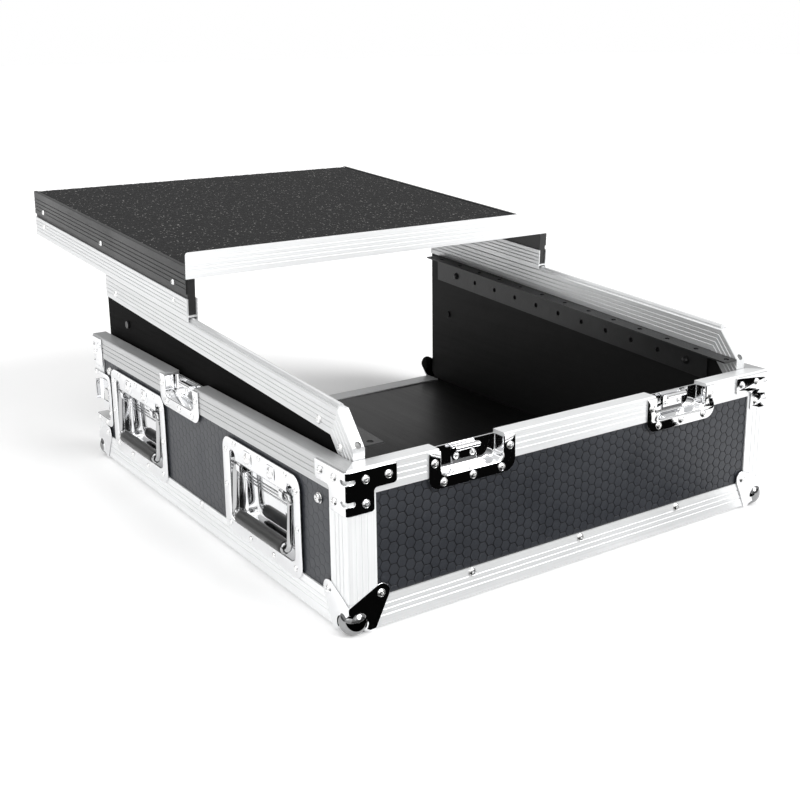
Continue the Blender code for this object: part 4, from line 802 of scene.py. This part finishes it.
def ballCorner(name, side, end):
    look = ballLook
    inset, radius, rise = look["inset"], look["radius"], caseSize["plateFront"]
    inward = Vector((-side, 1 if end == "front" else -1, 1))
    axes = [Vector((inward.x, 0, 0)), Vector((0, inward.y, 0)), Vector((0, 0, 1))]
    origin = Vector((side * caseSize["halfWidth"],
                     (0 if end == "front" else caseSize["depth"]) - caseSize["middle"], caseSize["lift"]))
    ring = math.sqrt(radius ** 2 - (inset + rise) ** 2)  # where the ball comes through a leaf
    collar = [(ring + past, rise + lift) for past, lift in look["collar"]]
    edge = look["collarEdge"]
    shape = Shape(heads=True)
    for first, second, away in ((0, 2, 1), (2, 1, 0), (1, 0, 2)):
        right, up = axes[first], axes[second]
        if right.cross(up).dot(axes[away]) > 0:
            right, up = up, right
        place = frameOf(origin, right, up)
        shape.sheet([leafOutline()], place, caseSize["plateBack"], rise, look["edge"])
        shape.rings([[(max(x, edge), max(y, edge), height)
                      for x, y in arc((inset, inset), reach, look["collarFrom"], look["collarTo"], 26)]
                     for reach, height in collar], place, closed=False)
        if away != 2:  # no rivet under the case
            rivet(shape, moved(place, look["lobe"], look["lobe"], rise))
    order = (0, 1, 2) if inward.x * inward.y > 0 else (2, 1, 0)
    facet = [origin + inward * look["fold"] + axes[k] * (look["cut"] - 3 * look["fold"]) for k in order]
    shape.mesh.faces.new([shape.mesh.verts.new(point) for point in facet])
    ball = Shape()
    bmesh.ops.create_uvsphere(ball.mesh, u_segments=look["around"], v_segments=look["down"], radius=radius,
                              matrix=Matrix.Translation(origin + inward * inset))
    hidden = [vert for vert in ball.mesh.verts
              if all((vert.co - origin).dot(axis) > look["inside"] for axis in axes)
              and (vert.co - origin).dot(inward) > look["cut"] + look["behind"]]
    bmesh.ops.delete(ball.mesh, geom=hidden, context="VERTS")
    for vert in ball.mesh.verts:
        vert.co.z = max(vert.co.z, look["ground"])  # stays off the floor
    ball.piece(name + "_sphere", "case", "ball", "chrome")
    shape.piece(name, "case", "chrome", "chrome", [name + "_corner"])


for label, side in (("left", -1), ("right", 1)):
    for end in ("front", "rear"):
        ballCorner(f"{end}_{label}_ball", side, end)
print("ball corners pressed")

# catch dishes

catchLook = {"across": 0.137, "sideBack": 0.346, "half": 0.050, "mouth": 0.036, "low": 0.117, "floor": 0.129,
             "top": 0.1532, "chamfer": 0.012, "deep": 0.0138, "cornerRound": 0.0075, "rim": 0.1517,
             "lap": 0.0008, "edge": 0.00045, "sheet": 0.0009, "fillet": 0.0022, "topRound": 0.0012,
             "lapRound": 0.0004,
             "rivets": ((-0.0435, 0.1425), (-0.0335, 0.1228), (0, 0.1228), (0.0335, 0.1228),
                        (0.0435, 0.1425))}
hookLook = {"half": 0.014, "foot": 0.132, "bendHigh": 0.1466, "noseHigh": 0.1479, "clear": 0.0002,
            "thick": 0.0013, "edge": 0.0003, "edgeShare": 0.6, "bend": 0.0026, "nose": 0.0074,
            "curl": 0.0017, "curlEnd": -0.45 * math.pi, "rivets": (-0.0095, 0.0095), "rivetHigh": 0.139,
            "rivet": (0.0032, 0.0015)}


rolledRim = [(0.0011, 0.00146), (0.0006, 0.0013), (0.0002, 0.0009), (0.0, 0.0003)]  # outwards, height


def openPan(shape, place, floorLine, depth, sheet, fillet):  # a pan that is open at one side
    def widened(amount):
        made = []
        for index, point in enumerate(floorLine):
            before = (point - floorLine[index - 1]).normalized() if index else None
            after = (floorLine[index + 1] - point).normalized() if index + 1 < len(floorLine) else None
            first = before or after
            second = after or before
            out = (Vector((first.y, -first.x)) + Vector((second.y, -second.x))).normalized()
            made.append(point + out * amount)
        return made

    levels = rolledRim + arc((-fillet, fillet - depth), fillet, 0, -math.pi / 2, 4)
    rings = [[(*point, level) for point in widened(amount)] for amount, level in levels]
    faces = shape.rings(rings, place, closed=False)
    faces.append(shape.mesh.faces.new([shape.mesh.verts.new(place @ Vector(point)) for point in rings[-1]]))
    made = list(dict.fromkeys(vert for face in faces for vert in face.verts))
    bmesh.ops.remove_doubles(shape.mesh, verts=made, dist=2e-6)
    bmesh.ops.solidify(shape.mesh, geom=[face for face in faces if face.is_valid], thickness=sheet)


def catchDish(name, place, replaced):
    look, hook = catchLook, hookLook
    half, mouth, low, floor, top = (look[part] for part in ("half", "mouth", "low", "floor", "top"))
    lap, turn, deep = look["lap"], look["cornerRound"], look["deep"]
    shape = Shape(heads=True)
    inner = mouth + lap
    flange = softOutline([(-half, low), (half, low), (half, top), (inner, top), (inner, floor - lap),
                          (-inner, floor - lap), (-inner, top), (-half, top)],
                         [look["chamfer"], look["chamfer"], look["topRound"], look["lapRound"], turn,
                          turn, look["lapRound"], look["topRound"]], 7)
    shape.sheet([flange], place, caseSize["plateBack"], caseSize["plateFront"], look["edge"])
    line = [Vector((-mouth, look["rim"]))]
    line += arc((turn - mouth, floor + turn), turn, math.pi, math.pi * 1.5, 8)
    line += [Vector((-point.x, point.y)) for point in reversed(line)]
    openPan(shape, place, line, deep, look["sheet"], look["fillet"])
    thick, side, edge, bend = hook["thick"], hook["half"], hook["edge"], hook["bend"]
    near = thick / 2 + hook["clear"] - deep
    spine = [Vector((near, hook["foot"]))]  # the hooked plate's middle, from its foot to its nose
    spine += arc((near + bend, hook["bendHigh"]), bend, math.pi, math.pi / 2, 5)
    spine += arc((-hook["nose"], hook["noseHigh"]), hook["curl"], math.pi / 2, hook["curlEnd"], 8)
    thin = hook["edgeShare"]
    rings = []
    for index, (w, z) in enumerate(spine):
        ahead = (spine[min(index + 1, len(spine) - 1)] - spine[max(index - 1, 0)]).normalized()
        out = Vector((-ahead.y, ahead.x)) * thick / 2
        rings.append([(across, z + out.y * share, w + out.x * share) for across, share in
                      ((-side, thin), (edge - side, 1), (side - edge, 1), (side, thin),
                       (side, -thin), (side - edge, -1), (edge - side, -1), (-side, -thin))])
    shape.rings(rings, place, bottom=True, top=True)
    for across, z in look["rivets"]:
        rivet(shape, moved(place, across, z, caseSize["plateFront"]))
    for across in hook["rivets"]:
        rivet(shape, moved(place, across, hook["rivetHigh"], near + thick / 2), *hook["rivet"])
    shape.piece(name, "case", "chrome", "chrome", [replaced])


for label, side in (("left", -1), ("right", 1)):
    catchDish(f"front_{label}_catch", moved(wallFrame("front"), side * catchLook["across"], 0),
              f"front_{label}_catch_dish")
    catchDish(f"{label}_side_catch", moved(wallFrame(label), side * catchLook["sideBack"], 0),
              f"{label}_catch_dish")
print("catch dishes pressed")

# handles

handleLook = {"places": (("front", 0.161), ("rear", 0.4705)), "half": 0.080, "low": 0.020, "high": 0.124,
              "corner": 0.014, "mouth": 0.0665, "mouthLow": 0.035, "mouthHigh": 0.1015, "slotHigh": 0.111,
              "slotIn": 0.0535, "boxHigh": 0.121, "deep": 0.0162, "fillet": 0.0035, "edge": 0.0005,
              "roll": ((0.0012, 0.00148), (0.0007, 0.0014), (0.0003, 0.0011), (0.00004, 0.0007),
                       (0.0, 0.0003), (0.0, -0.0006)),
              "openingRounds": (0.0070, 0.0070, 0.0060, 0.0060, 0.0020, 0.0020, 0.0060, 0.0060),
              "rollOut": 0.0010, "panPast": 0.00003, "panRound": 0.0075, "large": (0.024, 0.1125),
              "largeRivet": (0.0058, 0.0022), "seatHalf": (0.0080, 0.0072), "seatRound": 0.0022,
              "seatEdge": 0.0004, "seatFoot": 0.0005, "seatRise": 0.0007,
              "rivets": ((0.053, 0.1195), (0.0727, 0.109), (0.0732, 0.071), (0.024, 0.0272), (0.068, 0.030)),
              "middleRivet": 0.1195, "small": 0.0032, "ridges": (0.0820, 0.0785, 0.0750), "ridgeHalf": 0.0640,
              "ridge": 0.0008}
bailLook = {"half": 0.057, "drop": 0.0535, "rod": 0.0035, "bend": 0.007, "pivotZ": 0.097, "pivotDeep": 0.002,
            "lean": 0.003, "stub": 0.038, "grip": 0.0070, "gripHalf": 0.047, "lug": 0.0445, "lugHalf": 0.0055,
            "lugThick": 0.0035, "lugDeep": 0.0158, "lugFoot": 0.005, "lugRound": 0.0035, "lugEdge": 0.0004,
            "stubIn": 0.006, "bore": 0.0039, "flute": 0.00012, "fluteEnd": 0.006,
            "seam": 0.00018, "gripEnd": ((0, 0.62), (0, 0.86), (0.0006, 0.94), (0.0016, 0.985)),
            "stations": 24, "sides": 36,
            "collar": ((0.0042, 0), (0.0056, 0), (0.0060, 0.0006), (0.0060, 0.0022), (0.0054, 0.0030),
                       (0.0042, 0.0032))}


def handleDish(name, place, replaced):
    look, bail = handleLook, bailLook
    half, mouth, low, high = look["half"], look["mouth"], look["mouthLow"], look["mouthHigh"]
    slot, slotHigh, rise = look["slotIn"], look["slotHigh"], caseSize["plateFront"]
    deep, fillet = look["deep"], look["fillet"]
    shape = Shape(heads=True)
    flange = boxOutline(-half, half, look["low"], look["high"], look["corner"], 9)
    opening = softOutline([(-mouth, low), (mouth, low), (mouth, slotHigh), (slot, slotHigh), (slot, high),
                           (-slot, high), (-slot, slotHigh), (-mouth, slotHigh)],
                          look["openingRounds"], 5)
    shape.sheet([flange, grown(opening, look["rollOut"])], place, caseSize["plateBack"], rise,
                look["edge"], 3)
    shape.rings(raised(opening, look["roll"]), place)
    past = look["panPast"]
    pan = boxOutline(-mouth - past, mouth + past, low - past, look["boxHigh"], look["panRound"], 6)
    levels = [(0.0, -0.0003)] + arc((-fillet, fillet - deep), fillet, 0, -math.pi / 2, 5)
    shape.rings(raised(pan, levels), place, top=True)
    for way in (-1, 1):
        across, up = way * look["large"][0], look["large"][1]
        wide, tall = look["seatHalf"]  # of the seat under a large rivet
        seat = boxOutline(across - wide, across + wide, up - tall, up + tall, look["seatRound"], 4)
        shape.sheet([seat], place, rise - look["seatFoot"], rise + look["seatRise"], look["seatEdge"])
        rivet(shape, moved(place, across, up, rise + look["seatRise"]), *look["largeRivet"])
        for across, up in look["rivets"]:
            rivet(shape, moved(place, way * across, up, rise), look["small"])
        pivot, depth, thick = bail["pivotZ"], bail["pivotDeep"], bail["lugThick"]
        lug = boxOutline(pivot - bail["lugHalf"], pivot + bail["lugHalf"], depth - bail["lugFoot"],
                         bail["lugDeep"], bail["lugRound"], 5)
        bore = [(pivot + x, depth + y) for x, y, _ in circle(bail["bore"], 0, 24)]
        axis = place @ Matrix(((0, 0, 1, 0), (1, 0, 0, 0), (0, -1, 0, 0), (0, 0, 0, 1)))
        shape.sheet([lug, bore], axis, way * bail["lug"] - thick, way * bail["lug"] + thick,
                    bail["lugEdge"])
    rivet(shape, moved(place, 0, look["middleRivet"], rise), look["small"])
    for height in look["ridges"]:  # pressed across the pan's back
        ends = [Vector((way * look["ridgeHalf"], height, 0.0003 - deep)) for way in (-1, 1)]
        shape.sweep([place @ end for end in ends], look["ridge"])
    shape.piece(name, "case", "chrome", "chrome", [replaced], 38)


def bailSpot(place, across, down):  # a point on the hanging handle, which leans a little inwards
    look = bailLook
    lean = Vector((-math.sqrt(look["drop"] ** 2 - look["lean"] ** 2), look["lean"])) / look["drop"]
    return place @ Vector((across, look["pivotZ"] + lean.x * down, -look["pivotDeep"] + lean.y * down))


def makeHandle(name, place, body):
    look = bailLook
    inner, bend, drop = look["half"] - look["bend"], look["bend"], look["drop"]
    stub = [(look["stub"], 0.0), (look["stub"] + look["stubIn"], 0.0)]
    path = [(-across, down) for across, down in stub]
    for across, down, start in ((-inner, bend, 270), (-inner, drop - bend, 180), (inner, drop - bend, 90),
                                (inner, bend, 0)):
        path += arc((across, down), bend, math.radians(start), math.radians(start - 90), 8)
    path += reversed(stub)
    rod = Shape()
    rod.sweep([bailSpot(place, across, down) for across, down in path], look["rod"])
    ahead = (bailSpot(place, 0.001, drop) - bailSpot(place, -0.001, drop)).normalized()
    side = ahead.orthogonal().normalized()
    barFrame = frameOf(bailSpot(place, 0, drop), side, ahead.cross(side))
    for way in (-1, 1):  # turned collars at the grip's ends
        rings = [circle(radius, way * (look["gripHalf"] + out), 24) for radius, out in look["collar"]]
        rod.rings(rings[::way], barFrame)
    rod.piece(name + "_bail", body, "rod", "chrome", [body + "_bail"], 40)
    end, sides, count = look["gripHalf"], look["sides"], look["stations"]
    first = [(along - end, share) for along, share in look["gripEnd"]]  # share of the grip's radius
    start, full = first[-1]
    stations = first + [(start * (1 - 2 * k / count), full + (1 - full) * math.sin(math.pi * k / count))
                        for k in range(1, count)]
    stations += [(-along, share) for along, share in reversed(first)]
    rings = []
    for along, share in stations:
        ring = []
        for k, (x, y, _) in enumerate(circle(1.0, along, sides)):
            reach = look["grip"] * share
            reach += look["seam"] if k % (sides // 2) == 0 else 0.0  # the mould's parting line
            reach -= look["flute"] if abs(along) < end - look["fluteEnd"] and k % 3 == 1 else 0.0
            ring.append((reach * x, reach * y, along))
        rings.append(ring)
    grip = Shape()
    grip.rings(rings, barFrame)
    grip.piece(name + "_grip", body, "grip", "grip_rubber", [body + "_grip"], 60)


for label, side in (("left", -1), ("right", 1)):
    for end, back in handleLook["places"]:
        spot = moved(wallFrame(label), side * back, 0)
        handleDish(f"{label}_{end}_dish", spot, f"{label}_{end}_handle_dish")
        makeHandle(f"{label}_{end}", spot, f"{label}_{end}_handle")
print("handles made")

# rear latch dishes

latchLook = {"start": 0.5555, "low": 0.043, "high": 0.1105, "corner": 0.010, "recessStart": 0.564,
             "recessLow": 0.052, "recessHigh": 0.104, "recessRound": 0.0045, "lapRound": 0.004,
             "endRound": 0.001, "deep": 0.0138, "end": 0.608,
             "lap": 0.0008, "edge": 0.00045, "sheet": 0.0009, "fillet": 0.0020, "small": 0.0032,
             "rivets": ((0.5598, 0.095), (0.5598, 0.062), (0.600, 0.1072), (0.600, 0.0475), (0.574, 0.0475))}


def latchDish(name, label, side):
    look = latchLook
    place = wallFrame(label)
    start, low, high, end, lap = (look[part] for part in ("start", "low", "high", "end", "lap"))
    near, under, over = look["recessStart"], look["recessLow"], look["recessHigh"]

    def facing(points):  # on the left side x runs to the front, so the outline is turned round
        return [Vector((side * x, y)) for x, y in points][::side]

    shape = Shape(heads=True)
    flange = facing([(start, low), (end, low), (end, under - lap), (near - lap, under - lap),
                     (near - lap, over + lap), (end, over + lap), (end, high), (start, high)])
    radii = [look[part] for part in ("corner", "endRound", "endRound", "lapRound")]
    shape.sheet([softOutline(flange, radii + radii[::-1], 6)], place, caseSize["plateBack"],
                caseSize["plateFront"], look["edge"])
    turn = look["recessRound"]
    line = [(end, over)] + arc((near + turn, over - turn), turn, math.pi / 2, math.pi, 6)
    line += arc((near + turn, under + turn), turn, math.pi, math.pi * 1.5, 6) + [(end, under)]
    openPan(shape, place, facing(line), look["deep"], look["sheet"], look["fillet"])
    for back, up in look["rivets"]:
        rivet(shape, moved(place, side * back, up, caseSize["plateFront"]), look["small"])
    shape.piece(name, "case", "chrome", "chrome", [f"{label}_rear_latch_dish"])


for label, side in (("left", -1), ("right", 1)):
    latchDish(f"{label}_latch_dish", label, side)
print("latch dishes pressed")

# rivets and bolts on the rails

fastenerLook = {"railUp": 0.0245, "frontRail": (-0.137, 0, 0.137), "sideRail": 0.304,
                "slant": ((-0.032, 0.0095), (-0.5612, -0.0070)), "slantFront": (0.0331, 0.0078),
                "shelfEnd": 0.0355, "channelUp": 0.0444, "trimUp": 0.0645, "small": (0.0034, 0.0018),
                "large": (0.0042, 0.0021), "bolts": ((0.0495, 0.115), (0.558, 0.1168)), "boltDeep": 0.0014,
                "holeShadeDisc": ((0.0034, -0.0016), (0.0034, -0.0012), (0.0026, -0.0012), (0.0010, -0.0013))}


def headSet(name, body, places, size="large"):
    shape = Shape()
    for place in places:
        rivet(shape, place, *fastenerLook[size])
    shape.piece(name, body, "rivet", "zinc")


def makeFasteners(label, side):
    look = fastenerLook
    wall, slope, shelf = wallFrame(label), slantSide(side, slantFrame), slantSide(side, shelfFrame)
    headSet(f"{label}_rail_rivets", "case", [moved(wall, side * look["sideRail"], look["railUp"])])
    length = (slantSize["back"] - slantSize["foldY"]) / math.cos(slantSize["angle"])
    slants = list(look["slant"])
    slants.insert(1, (look["slantFront"][0] - length, look["slantFront"][1]))
    headSet(f"{label}_slant_rivets", "case", [moved(slope, side * back, up) for back, up in slants])
    near, far = look["shelfEnd"], shelfSize["length"] - look["shelfEnd"]
    headSet(f"{label}_channel_rivets", "shelf",
            [moved(shelf, side * back, look["channelUp"]) for back in (near, far)], "small")
    headSet(f"{label}_trim_rivets", "shelf",
            [moved(shelf, side * back, look["trimUp"]) for back in (near, (near + far) / 2, far)], "small")
    # a dark disc recessed in the leg's hole, its dark tone painted shade for the hole
    holeShadeDisc = Shape()
    holeShadeDisc.lathe(look["holeShadeDisc"], moved(legFace, side * (slantSize["outer"] + slantSize["inner"]) / 2,
                                   slantSize["hole"]), 22)
    holeShadeDisc.piece(f"{label}_leg_plug", "case", "holeShadeDisc", "zinc")
    bolts = Shape()
    for back, up in look["bolts"]:
        panBolt(bolts, moved(wall, side * back, up, -look["boltDeep"]))
    bolts.piece(f"{label}_wall_bolts", "case", "zinc", "zinc")


headSet("front_rail_rivets", "case",
        [moved(wallFrame("front"), across, fastenerLook["railUp"]) for across in fastenerLook["frontRail"]])
for label, side in (("left", -1), ("right", 1)):
    makeFasteners(label, side)
print("rivets and bolts set")

# carpet on the shelf

carpetSize = {"half": 0.250, "front": 0.0018, "back": 0.505, "low": 0.0861, "top": 0.0887, "cell": 0.0026,
              "pile": 0.0007, "edgeFall": 0.0005}


def makeCarpetPiece():
    size = carpetSize
    half, front, reach = size["half"], size["front"], size["back"] - size["front"]
    wide, deep = round(2 * half / size["cell"]), round(reach / size["cell"])
    rows = []
    for row in range(deep + 1):
        line = []
        for column in range(wide + 1):
            fall = 0.0 if 0 < row < deep and 0 < column < wide else size["edgeFall"]
            line.append((2 * half * column / wide - half, front + reach * row / deep,
                         size["top"] - fall - size["pile"] * chance.random()))
        rows.append(line)
    rim = rows[0] + [row[-1] for row in rows[1:-1]] + rows[-1][::-1] + [row[0] for row in rows[-2:0:-1]]
    shape = Shape()
    shape.rings(rows, shelfFrame, closed=False)
    shape.rings([[(x, y, size["low"]) for x, y, _ in rim], rim], shelfFrame, bottom=True)
    return shape.piece("shelf_felt", "shelf", "carpet", "carpet", ["shelf_carpet"], 70)


makeCarpetPiece()
print("carpet laid")

# softened edges on the pieces that stay from the CAD model

softEdges = {"rails": 0.00025, "latch": 0.0004, "rounds": 2, "angle": math.radians(40)}


def soften(name, width):
    bevel = nodes[name].modifiers.new("softEdges", "BEVEL")
    bevel.width = width
    bevel.segments = softEdges["rounds"]
    bevel.limit_method = "ANGLE"
    bevel.angle_limit = softEdges["angle"]


for nodeName in nodeFinish:
    if "panel" not in nodeName and nodeName != "shelf_carpet":
        soften(nodeName, softEdges["rails"])
for nodeName in nodes:
    if any(word in nodeName for word in ("latch_claw", "latch_hub", "latch_wings")):
        soften(nodeName, softEdges["latch"])
print("edges softened")
